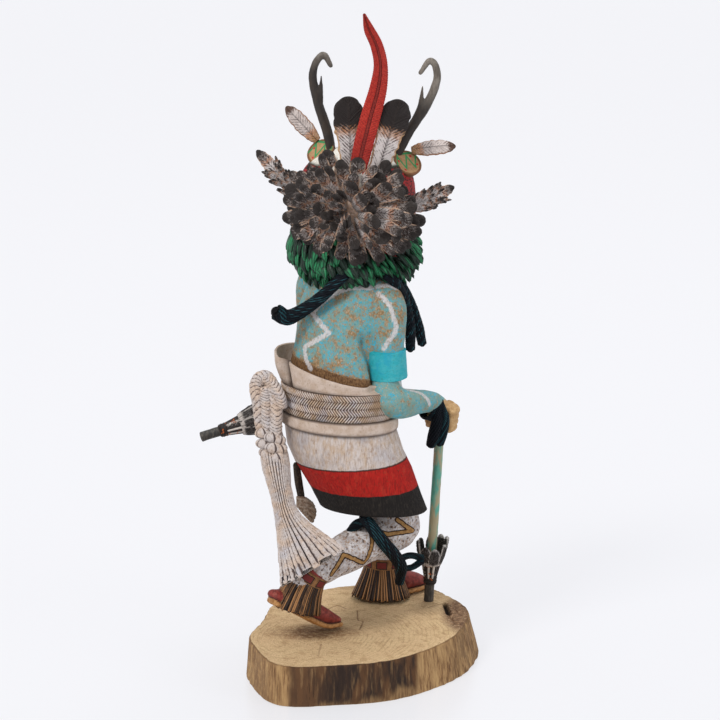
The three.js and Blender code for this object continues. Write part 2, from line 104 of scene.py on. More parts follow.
FOREARMS = {
    "right": [(14.8, 0.6, 181, 8.2), (14.6, -0.4, 174, 8.6), (14.6, -2.8, 167.4, 9), (15.8, -7.4, 160.4, 9.3),
              (23, -3.4, 157, 8.8), (33, 10, 154.2, 7), (41.5, 21.4, 151, 6), (47, 30, 145, 5.6)],
    "left": [(-25, 57, 176, 8.4), (-24.6, 57.5, 170.5, 8), (-23, 60, 161, 8.6), (-17, 63, 154, 7.4),
             (-9, 66, 149, 5.8)],
}
KILT_HALF = (35.0, 26.5)
KILT_TOP = 142.0
KILT_FOLDS = [
    (7.6, 97.0, -9.0, 0, -0.08), (7.6, 92.6, -5.0, 0, -0.08), (7.6, 91.5, -2.4, 0, -0.08),
    (7.5, 92.3, -1.5, 0, -0.08), (3.4, 102, -1.0, 0, 0), (-4, 118, 1.0, 0, 0), (-8.6, 128, 0.8, 0, 0),
    (-11.6, 141.5, -0.4, 0, 0), (-11.9, 142.2, 1.1, 0, 0), (-12.1, 143.4, 1.5, 0, 0),
    (-12.2, 148.2, 1.4, 0, 0), (-12.2, 149.2, 1.0, 0, 0), (-12.3, 149.6, -0.6, 0, 0),
    (-12.4, 164.6, -0.6, 0, 0), (-12.5, 165.2, -0.9, 0, 0), (-12.5, 166.2, -0.2, -0.03, 0.01),
    (-12.9, 174.2, 0.0, -0.2, 0.08), (-13, 175.0, -0.5, -0.2, 0.08), (-13, 174.8, -1.4, -0.2, 0.08),
    (-12.7, 170, -3.2, -0.1, 0.04), (-12.6, 166, -4.2, 0, 0),
]
LEFT_LEG = [
    [(-33, -26.5, 59, 7.6), (-31, -26, 61, 8.4), (-22, -20, 65, 9.6), (-8, -9, 70, 11.4), (7, 4, 74, 12),
     (20, 14, 76, 11.8), (24, 17, 78, 11)],
    [(22.5, 14, 72, 9), (22, 15, 80, 12.6), (17, 14.5, 92, 13.4), (12, 14, 108, 14)],
]
RIGHT_LEG = [(4, 22, 108, 13), (11, 36, 84, 12.5), (13, 44, 64, 10.5), (13, 47, 45, 8.4)]
HORNS = {
    "left": (
        [(-14, 28, 286, 2.2), (-15, 28, 290, 2.3), (-18.4, 28, 307, 2.9), (-23.2, 28, 322, 2.7),
         (-26.4, 28, 336, 2.4), (-25.2, 28, 345, 2.1), (-20.4, 28, 350.5, 1.9), (-16.4, 28, 344.5, 1.4)],
        [(-21.6, 28, 314, 2), (-22.4, 28, 318, 1.8), (-22, 27.5, 329, 1.4), (-21.7, 27, 338.5, 0.5)],
    ),
    "right": (
        [(15, 24, 282, 2.2), (17, 24, 286, 2.4), (27, 24, 307, 2.9), (37, 24, 322, 2.6), (42.8, 24, 336, 2.3),
         (42.2, 24, 344.8, 2), (38.6, 24, 347.6, 1.8), (33.8, 24, 341, 1.3)],
        [(26, 24, 305, 2.2), (28.5, 24, 310, 2.1), (33.5, 23.5, 321, 1.8), (35, 23, 333.5, 0.5)],
    ),
}
RED_PLUME = [
    (-2.5, 3.5, 284, 4.4), (1.5, 4, 302, 5.4), (6, 4, 320, 5.5), (10, 4, 335, 4.9), (11.4, 4, 348, 3.9),
    (9.2, 4, 359, 3.5), (5, 4, 368, 2.9), (2.4, 4, 376, 0.9),
]
NECK_SKEIN = [
    [(16, 5, 230, 3), (8, 7, 235, 3.4), (-4, 5, 234, 3.6), (-11, -2.5, 228.8, 3.4), (-22, -1, 218, 3.6),
     (-33, 3, 209, 4.0), (-41, 3, 205.4, 4.6), (-46.8, 1.5, 208.8, 4.8)],
    [(14, 1, 231, 3), (19, 2.5, 226.5, 3.1), (23, 9, 219, 3.2), (26, 13, 210, 3.2), (28.4, 12, 197, 3.2),
     (28.6, 11.5, 185, 2.9)],
    [(21, 11, 227, 2.6), (28, 19, 212, 2.9), (33, 20, 197, 3.1), (35.5, 20, 186, 2.7)],
]
BLOSSOM_PROFILE = [
    (-11, 5), (-8, 5.9), (-5, 7.0), (-2.5, 7.9), (-0.6, 8.4), (0, 8.2), (0.1, 7.4), (-0.3, 6.9), (-0.5, 5.2),
    (-0.6, 3.4), (-0.6, 1.6), (-0.6, 0.05),
]
BLOSSOMS = {
    "left": ((-22.5, 27, 296), (-0.42, -0.62, 0.66)),
    "right": ((27, 20, 291), (0.36, -0.62, 0.7)),
}
EAGLE_FEATHERS = {
    "left": ((-5, 7, 284), (-7, 10, 330)),
    "right": ((8, 6, 284), (22.5, 8, 328.5)),
}
DISC_FEATHERS = {
    "left": ((-24, 33, 301), (-42, 42, 319), (-0.1, -1, 0.25), 9.4),
    "right": ((29, 24, 297), (54, 27, 299), (0.05, -0.8, 0.7), 10),
}
SIDE_FEATHERS = {
    "left": ((-33.0, 22.0, 270.0), (-58.5, 30.0, 296.0), 11),
    "right": ((28.0, 13.0, 266.0), (53.0, 16.0, 278.0), 10),
}
WRIST_WINDING = ((38.5, 20.5, 148.4), (43.5, 24.0, 146.6))
WRIST_LOOPS = [
    [(44, 20, 150, 2.8), (44.2, 16, 142, 3.4), (42.4, 15.5, 133, 3.6), (40.8, 17.5, 126.6, 3)],
    [(46, 20, 149.5, 2.8), (48.6, 18, 142, 2.9), (47.2, 17.5, 134, 3.4), (45.8, 18.5, 127.2, 2.8)],
]
KNEE_YARN = [
    [(4, -9, 89, 2.8), (-1.5, -7, 86.5, 3), (-5.8, -5, 81.6, 2.4)],
    [(1.6, -10, 92, 3), (6, -10.5, 87, 3.6), (12.4, -9, 77.5, 3.8), (19, 0, 66.5, 3.9), (23.6, 9, 56, 3.8),
     (23.6, 14, 49.5, 3.2), (23, 17, 43.6, 2.8)],
    [(22, 7, 60.5, 2.1), (29, 14, 60.8, 2), (36, 20, 57.4, 2.2)],
    [(22, 8, 55, 1.9), (29.5, 14, 53.4, 1.9), (36, 19.6, 55.6, 2.1)],
]
CANES = {
    "right": ((46.8, 29.4, 142.5), (40.6, 40.5, 24.3)),
    "left": ((6, 68.5, 149.5), (-93, 50, 122)),
}
SASH_CORDS = [
    (-52.3, 6, 166, 5.2, 3.4), (-52, 4, 152, 5.4, 3.8), (-50.4, 1, 137, 5.8, 4.4), (-48.2, -5, 123, 7.4, 4.6),
    (-44.6, -13, 106, 5.6, 4.2), (-39.8, -22, 92, 7.8, 3.6), (-26.6, -37, 70.4, 20.8, 2.6),
]
SASH_ROPES = [
    ([(-56, 2, 142), (-57.2, 1.6, 154), (-59, 2, 164.5), (-57, 2.4, 170), (-52.4, 2.6, 170.4),
      (-49.6, 2, 165)], 3.7, 17),
    ([(-55, 3, 169.4), (-51.4, 1.6, 169.4), (-48.6, 0.2, 164), (-47.4, -1.6, 155), (-47.6, -2.6, 146),
      (-47.8, -3, 140)], 3.5, 17),
    ([(-53.4, 1, 164), (-53, -0.6, 155), (-52.4, -1.6, 143)], 3.2, 13),
    ([(-53, 1, 170.6), (-48.6, -0.6, 167), (-45, -3.4, 161), (-44, -3.6, 155.4)], 2.9, 11),
]
HUSK_KNOT = [
    ((-55.2, -2.5, 139.4), (4.4, 3.2), 0.2), ((-54.6, -3.2, 133.2), (4.6, 3.1), -0.1),
    ((-53.4, -4.0, 127.6), (4.2, 3.0), -0.4), ((-49.8, -5.0, 137.8), (4.6, 3.2), 0.1),
    ((-49.2, -6.4, 131.8), (4.8, 3.2), 0.0), ((-47.0, -6.8, 126.2), (4.2, 3.1), 0.3),
    ((-45.6, -5.0, 136.0), (3.8, 2.9), -0.3), ((-44.6, -6.0, 131.0), (3.6, 2.8), 0.3),
]


# Numbers
def lengths(rows):
    """How long each vector is."""
    return np.linalg.norm(rows, axis=-1)


def unit(rows):
    """Vectors brought to length one."""
    rows = np.asarray(rows, float)
    return rows / np.maximum(lengths(rows)[..., None], 1e-9)


def smooth(points, count, closed=False):
    """Rows of numbers drawn out to count rows on a smooth curve through them."""
    rows = np.array(points, float)
    if closed:
        padded = np.vstack([rows[-1:], rows, rows[:2]])
    else:
        padded = np.vstack([2 * rows[0] - rows[1], rows, 2 * rows[-1] - rows[-2]])
    spans = len(padded) - 3
    place = np.linspace(0, spans, count, endpoint=not closed)
    knot = np.minimum(place.astype(int), spans - 1)
    part = (place - knot)[:, None]
    a, b, c, d = (padded[knot + k] for k in range(4))
    bend = (2 * a - 5 * b + 4 * c - d) * part**2 + (3 * b - a - 3 * c + d) * part**3
    return 0.5 * (2 * b + (c - a) * part + bend)


def curve(heights, where):
    """A smooth line through evenly spaced heights, read at where, from 0 to 1."""
    drawn = smooth([[h] for h in heights], 101)[:, 0]
    return np.interp(where, np.linspace(0, 1, 101), drawn)


def lumps(points, size, seed=0):
    """Smooth noise from -1 to 1 at points in millimetres, with lumps about one size apart."""
    cells = np.asarray(points, float) / size + 19.7 * (seed + 1)
    low = np.floor(cells).astype(int)
    part = cells - low
    part = part * part * (3 - 2 * part)
    total = np.zeros(len(cells))
    for corner in itertools.product((0, 1), repeat=3):
        scatter = np.sin((low + corner) @ np.array([127.1, 311.7, 74.7])) * 43758.5453
        weight = np.where(np.array(corner), part, 1 - part).prod(axis=1)
        total += weight * (scatter - np.floor(scatter))
    return 2 * total - 1


def rise(values, low, high):
    """0 below low, 1 above high and smooth between them."""
    part = np.clip((values - low) / (high - low), 0, 1)
    return part * part * (3 - 2 * part)


def peak(apart, width):
    """1 where apart is 0, falling away smoothly on both sides."""
    return np.exp(-((apart / width) ** 2))


def turn_of(u, columns):
    """The angle of each column, the same on both sides of the seam."""
    return (np.rint(u * columns) % columns) * TAU / columns


def between(rows, place):
    """Rows of numbers read at places between two of them."""
    return np.stack([np.interp(place, range(len(rows)), column) for column in rows.T], axis=-1)


def from_line(spots, path):
    """How far spots are from a line through points, in millimetres."""
    nearest = np.full(len(spots), 1e3)
    for a, b in zip(path, path[1:]):
        a, b = np.array(a, float), np.array(b, float)
        along = b - a
        part = np.clip((spots - a) @ along / max(along @ along, 1e-9), 0, 1)
        nearest = np.minimum(nearest, lengths(spots - a - part[:, None] * along))
    return nearest


def arc(centre, a, b, turns, reach):
    """Points round a centre, from the direction a towards b."""
    return centre + (a * np.cos(turns)[:, None] + b * np.sin(turns)[:, None]) * reach


def limb(stations, count, across):
    """Centres and half axes along a limb, from rows x, y, z, half width and half depth."""
    rows = smooth([row if len(row) > 4 else (*row, row[3]) for row in stations], count)
    centres = rows[:, :3]
    ahead = unit(np.gradient(centres, axis=0))
    side = unit(across - ahead * (ahead @ across)[:, None])
    return centres, side * rows[:, 3:4], np.cross(ahead, side) * rows[:, 4:5]


def rings(stations, count, across):
    """Centres and half axes of level rings, from rows x, y, z, half width and half depth."""
    rows = smooth(stations, count)
    ahead = np.cross(UP, across)
    return rows[:, :3], across * rows[:, 3:4], ahead * rows[:, 4:5]


def domed(tube, bulge=1.0, steps=5):
    """A tube with its ends drawn in to round noses."""
    centres, wide, deep = tube
    for end, inner in ((0, 1), (-1, -2)):
        out = unit(centres[end] - centres[inner]) * np.linalg.norm(deep[end]) * bulge
        turns = np.linspace(0, TAU / 4, steps)[1:, None]
        added = (centres[end] + out * np.sin(turns), wide[end] * np.cos(turns), deep[end] * np.cos(turns))
        if end == 0:
            centres, wide, deep = (np.vstack([n[::-1], o]) for n, o in zip(added, (centres, wide, deep)))
        else:
            centres, wide, deep = (np.vstack([o, n]) for n, o in zip(added, (centres, wide, deep)))
    return centres, wide, deep


def strand_of(line, middle, fat, thin=1.0, bulge=1.0, steps=5):
    """A domed tube along a line, with its flat side towards the middle."""
    ahead = unit(np.gradient(line, axis=0))
    side = unit(np.cross(ahead, unit(line - middle)))
    return domed((line, side * fat, np.cross(ahead, side) * fat * thin), bulge, steps)


# Carving
class Carving:
    """A piece under the knife: a bmesh in metres, with UVs and numbers for the paint at each vertex."""

    def __init__(self):
        self.bm = bmesh.new()
        self.bm.loops.layers.uv.new("UVMap")
        self.values = {name: self.bm.verts.layers.float.new(name) for name in VALUES}

    def grid(self, columns, rows, place, **values):
        """A flat grid taken to place(u, v), in millimetres; u and v run from 0 to 1."""
        made = bmesh.ops.create_grid(
            self.bm, x_segments=columns, y_segments=rows, size=0.5, calc_uvs=True
        )["verts"]
        flat = np.array([vert.co[:2] for vert in made]) + 0.5
        u = np.rint(flat[:, 0] * columns) / columns
        v = np.rint(flat[:, 1] * rows) / rows
        for vert, spot in zip(made, (place(u, v) * MM).tolist()):
            vert.co = spot
        for name, value in values.items():
            numbers = value(u, v) if callable(value) else np.full(len(u), float(value))
            for vert, number in zip(made, numbers.tolist()):
                vert[self.values[name]] = number
        return made

    def close(self, made):
        """Seams merged and open ends filled."""
        bmesh.ops.remove_doubles(self.bm, verts=made, dist=MERGE)
        edges = {edge for vert in made if vert.is_valid for edge in vert.link_edges if edge.is_boundary}
        if edges:
            bmesh.ops.holes_fill(self.bm, edges=list(edges), sides=0)

    def tube(self, tube, columns, square=0.0, push=None, **values):
        """A closed tube round centres; push(u, v) moves its skin outwards, in millimetres."""
        centres, wide, deep = tube
        rows = len(centres) - 1

        def place(u, v):
            row = np.rint(v * rows).astype(int)
            turn = turn_of(u, columns)
            c, s = np.cos(turn)[:, None], np.sin(turn)[:, None]
            w, d = wide[row], deep[row]
            if square:
                power = 2 / (1 - square)
                reach = (abs(c) ** power + abs(s) ** power) ** (-1 / power)
                c, s = c * reach, s * reach
            spots = centres[row] + w * c + d * s
            if push is not None:
                w_long, d_long = (np.maximum(lengths(axis)[:, None], 1e-3) for axis in (w, d))
                out = unit(w / w_long**2 * c + d / d_long**2 * s)
                spots = spots + out * np.asarray(push(turn / TAU, v))[:, None]
            return spots

        self.close(self.grid(columns, rows, place, **values))

    def ball(self, centre, radii, columns, axes=(RIGHTWARDS, UP), **values):
        """A ball stretched along two axes and the one square to them."""
        a, b = unit(axes[0]), unit(axes[1])
        lean = np.linspace(-TAU / 4, TAU / 4, columns // 2 + 1)[:, None]
        centres = np.asarray(centre, float) + b * radii[1] * np.sin(lean)
        tube = centres, a * radii[0] * np.cos(lean), np.cross(b, a) * radii[2] * np.cos(lean)
        self.tube(tube, columns, **values)

    def limb(self, stations, count, sideways, columns, *dome, **values):
        """A round-ended tube along a limb."""
        self.tube(domed(limb(stations, count, sideways), *dome), columns, **values)

    def bundle(self, stations, across, strands, winding, strand, count, seed=0, core=0.72):
        """Strands wound round a line, and a core that fills them; winding is the length of one turn."""
        chance = random.Random(seed)
        centres, wide, deep = limb(stations, count, across)
        run = np.concatenate([[0], np.cumsum(lengths(np.diff(centres, axis=0)))])
        for k in range(strands):
            turn = (TAU * (k / strands + run / winding))[:, None]
            reach = 1 - strand / np.maximum(lengths(wide)[:, None], strand * 1.3)
            line = centres + (wide * np.cos(turn) + deep * np.sin(turn)) * reach
            fat = strand * chance.uniform(0.9, 1.12)
            self.tube(strand_of(line, centres, fat), 6, tone=chance.random(), along=lambda u, v: v)
        # the core is marked for the painted shade between the strands
        self.tube(domed((centres, wide * core, deep * core)), 8, tone=0.0, mark=1.0)

    def feather(self, root, tip, face, breadths, width, thick=1.0, bow=0.0, curl=0.0, columns=12, rows=14,
                barbs=0.0, count=20, shaft=0.25, sway=0.0, tone=0.5, ragged=0.0, seed=0):
        """A carved feather: a thin lens from root to tip, with a raised shaft and slanting barbs."""
        root, tip = np.asarray(root, float), np.asarray(tip, float)
        length = np.linalg.norm(tip - root)
        ahead = (tip - root) / length
        side = unit(np.cross(ahead, face))
        front = np.cross(side, ahead)

        def share(u):
            return np.where(u <= 0.5, 4 * u - 1, 3 - 4 * u)

        def place(u, v):
            s = share(u)
            run = 1 - (1 - v) ** 1.5
            blunt = min(0.5 * width / length, 0.9)
            past = np.clip((run - 1 + blunt) / blunt, 0, 1)
            half = np.maximum(curve(breadths, run), 0) * width / 2 * np.sqrt(1 - past**2)
            half = half * (v < 1)
            if ragged:
                spots = np.stack([run * 23, np.sign(s) * 3.0, np.full_like(run, seed)], axis=1)
                half = half * (1 + ragged * lumps(spots, 1.0, seed))
            lens = np.sqrt(np.clip(1 - s * s, 0, 1)) * thick / 2 * np.minimum(1, 4 * half / width)
            over = np.where(u <= 0.5, 1.0, -1.0)
            relief = shaft * peak(s, 0.13) * (v < 1)
            relief = relief + barbs * np.sin(TAU * (count * (run - 0.16 * abs(s)))) * (1 - abs(s) ** 4)
            out = over * (lens + relief * np.minimum(1, 6 * half / width))
            bend = bow * 4 * run * (1 - run) + curl * run**2
            drift = sway * 4 * run * (1 - run)
            return (root + ahead * (length * run)[:, None] + side * (s * half + drift)[:, None]
                    + front * (out + bend)[:, None])

        self.close(self.grid(
            columns * 2, rows, place,
            across=lambda u, v: share(u), along=lambda u, v: 1 - (1 - v) ** 1.5, tone=tone,
        ))

    def mesh(self, name):
        """The finished mesh; the bmesh is freed."""
        bmesh.ops.recalc_face_normals(self.bm, faces=self.bm.faces)
        mesh = bpy.data.meshes.new(name)
        self.bm.to_mesh(mesh)
        self.bm.free()
        return mesh


def fused(carving, voxel, relax=3):
    """The overlapping parts of a carving as one skin."""
    mesh = carving.mesh("parts")
    holder = bpy.data.objects.new("parts", mesh)
    bpy.context.scene.collection.objects.link(holder)
    remesh = holder.modifiers.new("one skin", "REMESH")
    remesh.mode = "VOXEL"
    remesh.voxel_size = voxel * MM
    soften = holder.modifiers.new("soft joins", "SMOOTH")
    soften.iterations = relax
    graph = bpy.context.evaluated_depsgraph_get()
    skin = bpy.data.meshes.new_from_object(holder.evaluated_get(graph))
    bpy.data.objects.remove(holder)
    bpy.data.meshes.remove(mesh)
    return skin


def spots_of(mesh):
    """The vertices of a mesh, in millimetres."""
    flat = np.empty(3 * len(mesh.vertices), np.float32)
    mesh.vertices.foreach_get("co", flat)
    return flat.reshape(-1, 3).astype(float) / MM


def pushed(mesh, amount):
    """Vertices moved outwards by amount, in millimetres."""
    flat = np.empty(3 * len(mesh.vertices), np.float32)
    mesh.vertices.foreach_get("normal", flat)
    spots = spots_of(mesh) + flat.reshape(-1, 3) * np.asarray(amount)[:, None]
    mesh.vertices.foreach_set("co", (spots * MM).astype(np.float32).ravel())
    mesh.update()


def valued(mesh, **values):
    """Numbers written at the vertices for the paint."""
    for name, numbers in values.items():
        layer = mesh.attributes.get(name) or mesh.attributes.new(name, "FLOAT", "POINT")
        layer.data.foreach_set("value", np.asarray(numbers, np.float32))


def painted_line(mesh, path, step=1.2):
    """How far each vertex is, in millimetres, from a line drawn on the surface near the path."""
    tree = BVHTree.FromPolygons([v.co for v in mesh.vertices], [p.vertices for p in mesh.polygons])
    drawn = []
    for a, b in zip(path, path[1:]):
        a, b = np.array(a, float), np.array(b, float)
        pieces = max(1, round(np.linalg.norm(b - a) / step))
        drawn += [a + (b - a) * k / pieces for k in range(pieces)]
    drawn.append(np.array(path[-1], float))
    on_skin = [np.array(tree.find_nearest(Vector(p * MM))[0]) / MM for p in drawn]
    return from_line(spots_of(mesh), on_skin)


def deliver(mesh, name, paint, nodes, crease):
    """A mesh as a finished piece that rides on the doll and stands for CAD nodes."""
    mesh.name = name
    mesh.materials.append(paint)
    mesh.polygons.foreach_set("use_smooth", [True] * len(mesh.polygons))
    mesh.set_sharp_from_angle(angle=math.radians(crease))
    piece = bpy.data.objects.new(name, mesh)
    bpy.context.scene.collection.objects.link(piece)
    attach(piece, "root")
    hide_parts(*nodes)


# Paint
class Wire:
    """An output socket; arithmetic on it adds Math nodes."""

    def __init__(self, paint, socket):
        self.paint = paint
        self.socket = socket

    def maths(self, operation, *values):
        return self.paint.node("Math", {"operation": operation}, dict(enumerate(values)))

    def __add__(self, other):
        return self.maths("ADD", self, other)

    __radd__ = __add__

    def __sub__(self, other):
        return self.maths("SUBTRACT", self, other)

    def __rsub__(self, other):
        return self.maths("SUBTRACT", other, self)

    def __mul__(self, other):
        return self.maths("MULTIPLY", self, other)

    __rmul__ = __mul__

    def __abs__(self):
        return self.maths("ABSOLUTE", self)

    def sine(self):
        return self.maths("SINE", self)

    def part(self):
        """What is left of it past its whole number."""
        return self.maths("FRACT", self)

    def rise(self, low, high, bottom=0.0, top=1.0):
        """A smooth step from bottom at low to top at high."""
        return self.paint.node(
            "MapRange", {"interpolation_type": "SMOOTHSTEP"},
            {"Value": self, "From Min": low, "From Max": high, "To Min": bottom, "To Max": top},
        )

    def fall(self, low, high):
        """A smooth step from 1 at low to 0 at high."""
        return self.rise(low, high, 1, 0)


class Paint:
    """A material made of nodes, and the wires they are joined by."""

    def __init__(self, name, sheen=0.5):
        self.material = bpy.data.materials.new(name)
        self.material.use_nodes = True
        self.tree = self.material.node_tree
        self.tree.nodes.clear()
        output = self.tree.nodes.new("ShaderNodeOutputMaterial")
        self.surface = self.tree.nodes.new("ShaderNodeBsdfPrincipled")
        self.surface.inputs["Specular IOR Level"].default_value = sheen
        self.tree.links.new(self.surface.outputs[0], output.inputs[0])
        self.spot = self.node("TexCoord", output="Object")

    def node(self, kind, settings=None, inputs=None, output=0):
        made = self.tree.nodes.new("ShaderNode" + kind)
        for name, value in (settings or {}).items():
            setattr(made, name, value)
        for name, value in (inputs or {}).items():
            self.feed(made, name, value)
        return Wire(self, made.outputs[output])

    def feed(self, node, name, value):
        """A wire or a plain value for a node's socket."""
        if isinstance(value, Wire):
            self.tree.links.new(value.socket, node.inputs[name])
        else:
            node.inputs[name].default_value = value

    def value(self, name):
        """A number that the carving wrote at its vertices."""
        return self.node("Attribute", {"attribute_name": name}, output="Fac")

    def values(self, *names):
        return [self.value(name) for name in names]

    def axes(self):
        """The object's x, y and z in millimetres."""
        split = self.node("SeparateXYZ", inputs={0: self.spot})
        outs = split.socket.node.outputs
        return [Wire(self, outs[k]) * (1 / MM) for k in range(3)]

    def uv(self):
        """How far round and along the surface, each from 0 to 1."""
        made = self.node("UVMap", {"uv_map": "UVMap"})
        outs = self.node("SeparateXYZ", inputs={0: made}).socket.node.outputs
        return Wire(self, outs[0]), Wire(self, outs[1])

    def noise(self, size, detail=3.0, rough=0.55, drawn=None):
        """Noise from 0 to 1, with lumps of a size in millimetres that are drawn out by three factors."""
        spot = self.spot
        if drawn:
            scale = [1 / way for way in drawn]
            spot = self.node("Mapping", inputs={"Vector": spot, "Scale": scale})
        return self.node(
            "TexNoise",
            inputs={"Vector": spot, "Scale": 1 / (size * MM), "Detail": detail, "Roughness": rough},
        )

    def flecks(self, size):
        """The distance to scattered points, a size in millimetres apart."""
        return self.node("TexVoronoi", inputs={"Vector": self.spot, "Scale": 1 / (size * MM)})

    def crease_shade(self, low, high):
        """1 in the hollows and inner corners of the mesh, where painted shade goes."""
        return self.node("NewGeometry", output="Pointiness").fall(low, high)

    def blend(self, mask, below, above):
        """One colour over another where the mask is 1."""
        settings = {"data_type": "RGBA", "clamp_factor": True}
        return self.node("Mix", settings, {0: mask, 6: below, 7: above}, output=2)

    def coats(self, colour, *layers):
        """Coats over a colour, each with its mask, and a colour or its red, green and blue."""
        for mask, *shade in layers:
            colour = self.blend(mask, colour, tint(*shade) if len(shade) == 3 else shade[0])
        return colour

    def done(self, colour, rough, height=None, depth=0.2):
        """The finish: colour, roughness and a relief of a depth in millimetres."""
        self.feed(self.surface, "Base Color", colour)
        self.feed(self.surface, "Roughness", rough)
        if height is not None:
            bump = self.node("Bump", inputs={"Height": height, "Distance": depth * MM})
            self.feed(self.surface, "Normal", bump)
        return self.material


def tint(red, green, blue):
    """A colour from its 0 to 255 values."""
    def linear(value):
        value /= 255
        return value / 12.92 if value <= 0.04045 else ((value + 0.055) / 1.055) ** 2.4

    return linear(red), linear(green), linear(blue), 1.0


def colour_of(name, description, red, green, blue):
    """A colour that the user may change."""
    return bpy.props.FloatVectorProperty(
        name=name, description=description, subtype="COLOR", size=4, min=0, max=1,
        default=tint(red, green, blue),
    )


def size_of(name, description, default, low, high):
    """A size that the user may change."""
    return bpy.props.FloatProperty(name=name, description=description, default=default, min=low, max=high)


class DollColours(bpy.types.PropertyGroup):
    """The paints of the doll."""

    sky: colour_of("Sky blue", "Bright flecks of the body paint", 58, 172, 200)
    turquoise: colour_of("Turquoise", "Ground of the body paint", 134, 160, 150)
    band: colour_of("Arm band", "Plain turquoise of the arm bands", 34, 160, 172)
    wood: colour_of("Wood", "Bare cottonwood where the paint is worn", 168, 132, 92)
    chalk: colour_of("Chalk white", "Zigzags and leggings", 206, 201, 200)
    cloth: colour_of("Kilt", "Off-white of the kilt", 204, 193, 187)
    red: colour_of("Red", "Stripe of the kilt and the tall feather", 172, 34, 28)
    black: colour_of("Black", "Hem of the kilt", 31, 28, 27)
    shoe: colour_of("Moccasin red", "Brick red of the moccasins", 138, 54, 46)
    # painted highlight on the strands at the ankles
    sole: colour_of("Sole", "Ochre of the soles", 184, 136, 84)
    fringe: colour_of("Fringe", "Dark strands at the ankles", 40, 26, 18)
    strand: colour_of("Fringe light", "Light strands at the ankles", 166, 118, 72)
    yarn: colour_of("Yarn", "Navy black of the yarn", 16, 21, 28)
    # painted sheen on the yarn
    yarn_sheen: colour_of("Yarn light", "Green blue lines on the yarn", 44, 88, 96)
    cotton: colour_of("Cotton", "Off-white cords of the sash", 202, 193, 189)
    cotton_shade: colour_of("Cotton shade", "Grooves of the sash", 88, 74, 70)
    spruce: colour_of("Spruce", "Dark green of the collar", 16, 44, 30)
    # painted highlight on the leaves
    spruce_highlight: colour_of("Spruce light", "Bright green on the leaves", 34, 128, 80)
    quill_dark: colour_of("Feather dark", "Tips of the small feathers", 50, 43, 40)
    quill_warm: colour_of("Feather warm", "Orange brown touches on feathers", 172, 106, 58)
    horn: colour_of("Horn", "Brown black of the horns", 46, 41, 38)
    horn_light: colour_of("Horn light", "Grey worn places of the horns", 134, 126, 116)
    cane: colour_of("Cane", "Green of the canes", 96, 168, 148)
    skin: colour_of("Hand", "Ochre of the hands", 206, 172, 124)
    hair: colour_of("Hair panel", "Red ground of the hair panels", 158, 34, 34)
    slab: colour_of("Slab", "Sawn top of the slab", 202, 172, 132)
    bark: colour_of("Bark", "Split side of the slab", 176, 140, 96)
    stain: colour_of("Stain", "Dark stain on the side of the slab", 50, 38, 32)


class DollSizes(bpy.types.PropertyGroup):
    """The sizes of the finer carving and the place of the camera, in millimetres and degrees."""

    yarn: size_of("Yarn strand", "Half the thickness of one strand of yarn", 0.72, 0.4, 2)
    cord: size_of("Sash cord", "Half the thickness of one cord of the sash", 1.35, 0.8, 2)
    braid: size_of("Braid stroke", "Length between two strokes of the belt braid", 1.55, 0.8, 3)
    groove: size_of("Kilt groove", "Depth of the fine lines in the kilt", 0.16, 0, 0.6)
    bark: size_of("Bark ridges", "Height of the ridges on the slab's side", 0.45, 0, 1.5)
    line: size_of("Zigzag", "Half the width of the painted zigzags", 1.7, 0.5, 4)
    camera: size_of("Camera distance", "How far the camera stands behind the doll", 1564, 500, 5000)
    camera_height: size_of("Camera height", "How high the camera stands", 583, 0, 2000)
    camera_pitch: size_of("Camera pitch", "Degrees that the camera looks down", 14.4, 0, 60)


def colours():
    return bpy.context.scene.doll_colours


def sizes():
    return bpy.context.scene.doll_sizes


# Places on the slab and lines painted on the doll
PITH = (-23.0, -22.0)
SLAB_CRACKS = [
    [(-1.6, 23.6), (-1.2, 6.9), (1.6, 4.1), (-0.2, -9.5)],
    [(-20.5, 22), (-18, 26.4), (-13.4, 31.9), (-8.2, 26.4)],
    [(-21.9, -33.4), (-23.5, -54.2)],
    [(40, 29), (50.1, 36.1)],
    [(51.8, 15.2), (53.4, 6.9), (56.6, -1.4)],
]
SLAB_GASH = [(50.1, 34.5), (51.8, 16.5)]
ARMPIT = [(-0.6, -4, 199), (1.1, -4, 191), (3.4, -4, 182), (4.4, -4, 170)]
BACK_ZIGZAG = [
    (19.4, 2.4, 221.4), (6.7, 1.1, 222.9), (-4.5, 4, 221.9), (-12.4, 5, 219.1), (-19.7, 5.3, 214.4),
    (-26, 7.2, 206.7), (-16.9, -3.5, 198), (-31.1, 4.4, 187.6), (-30, 1.5, 181.1), (-27.3, -2.2, 176.8),
]
ARM_ZIGZAG = [(10.4, -2.4, 220.2), (16.2, -5, 214.8), (20.4, -7.6, 201.9), (13.5, -9.2, 190.5)]
FOREARM_STREAK = [(22.4, -6, 170.5), (26.5, -3, 165), (32, 4, 158.5), (36, 10, 153.5)]
LEG_ZIGZAG = [
    (-16.4, -27.1, 63.4), (-9.4, -21.5, 72.8), (2, -13.4, 65.7), (6.9, -5.2, 81.9), (16, -2.3, 78.9),
    (30.2, 7.1, 78.2), (21.2, 2.5, 86.3),
]
LEG_LINE = 1.25
STRIPE_RED = (121.9, 0.09)
STRIPE_BLACK = (106.0, 0.05)


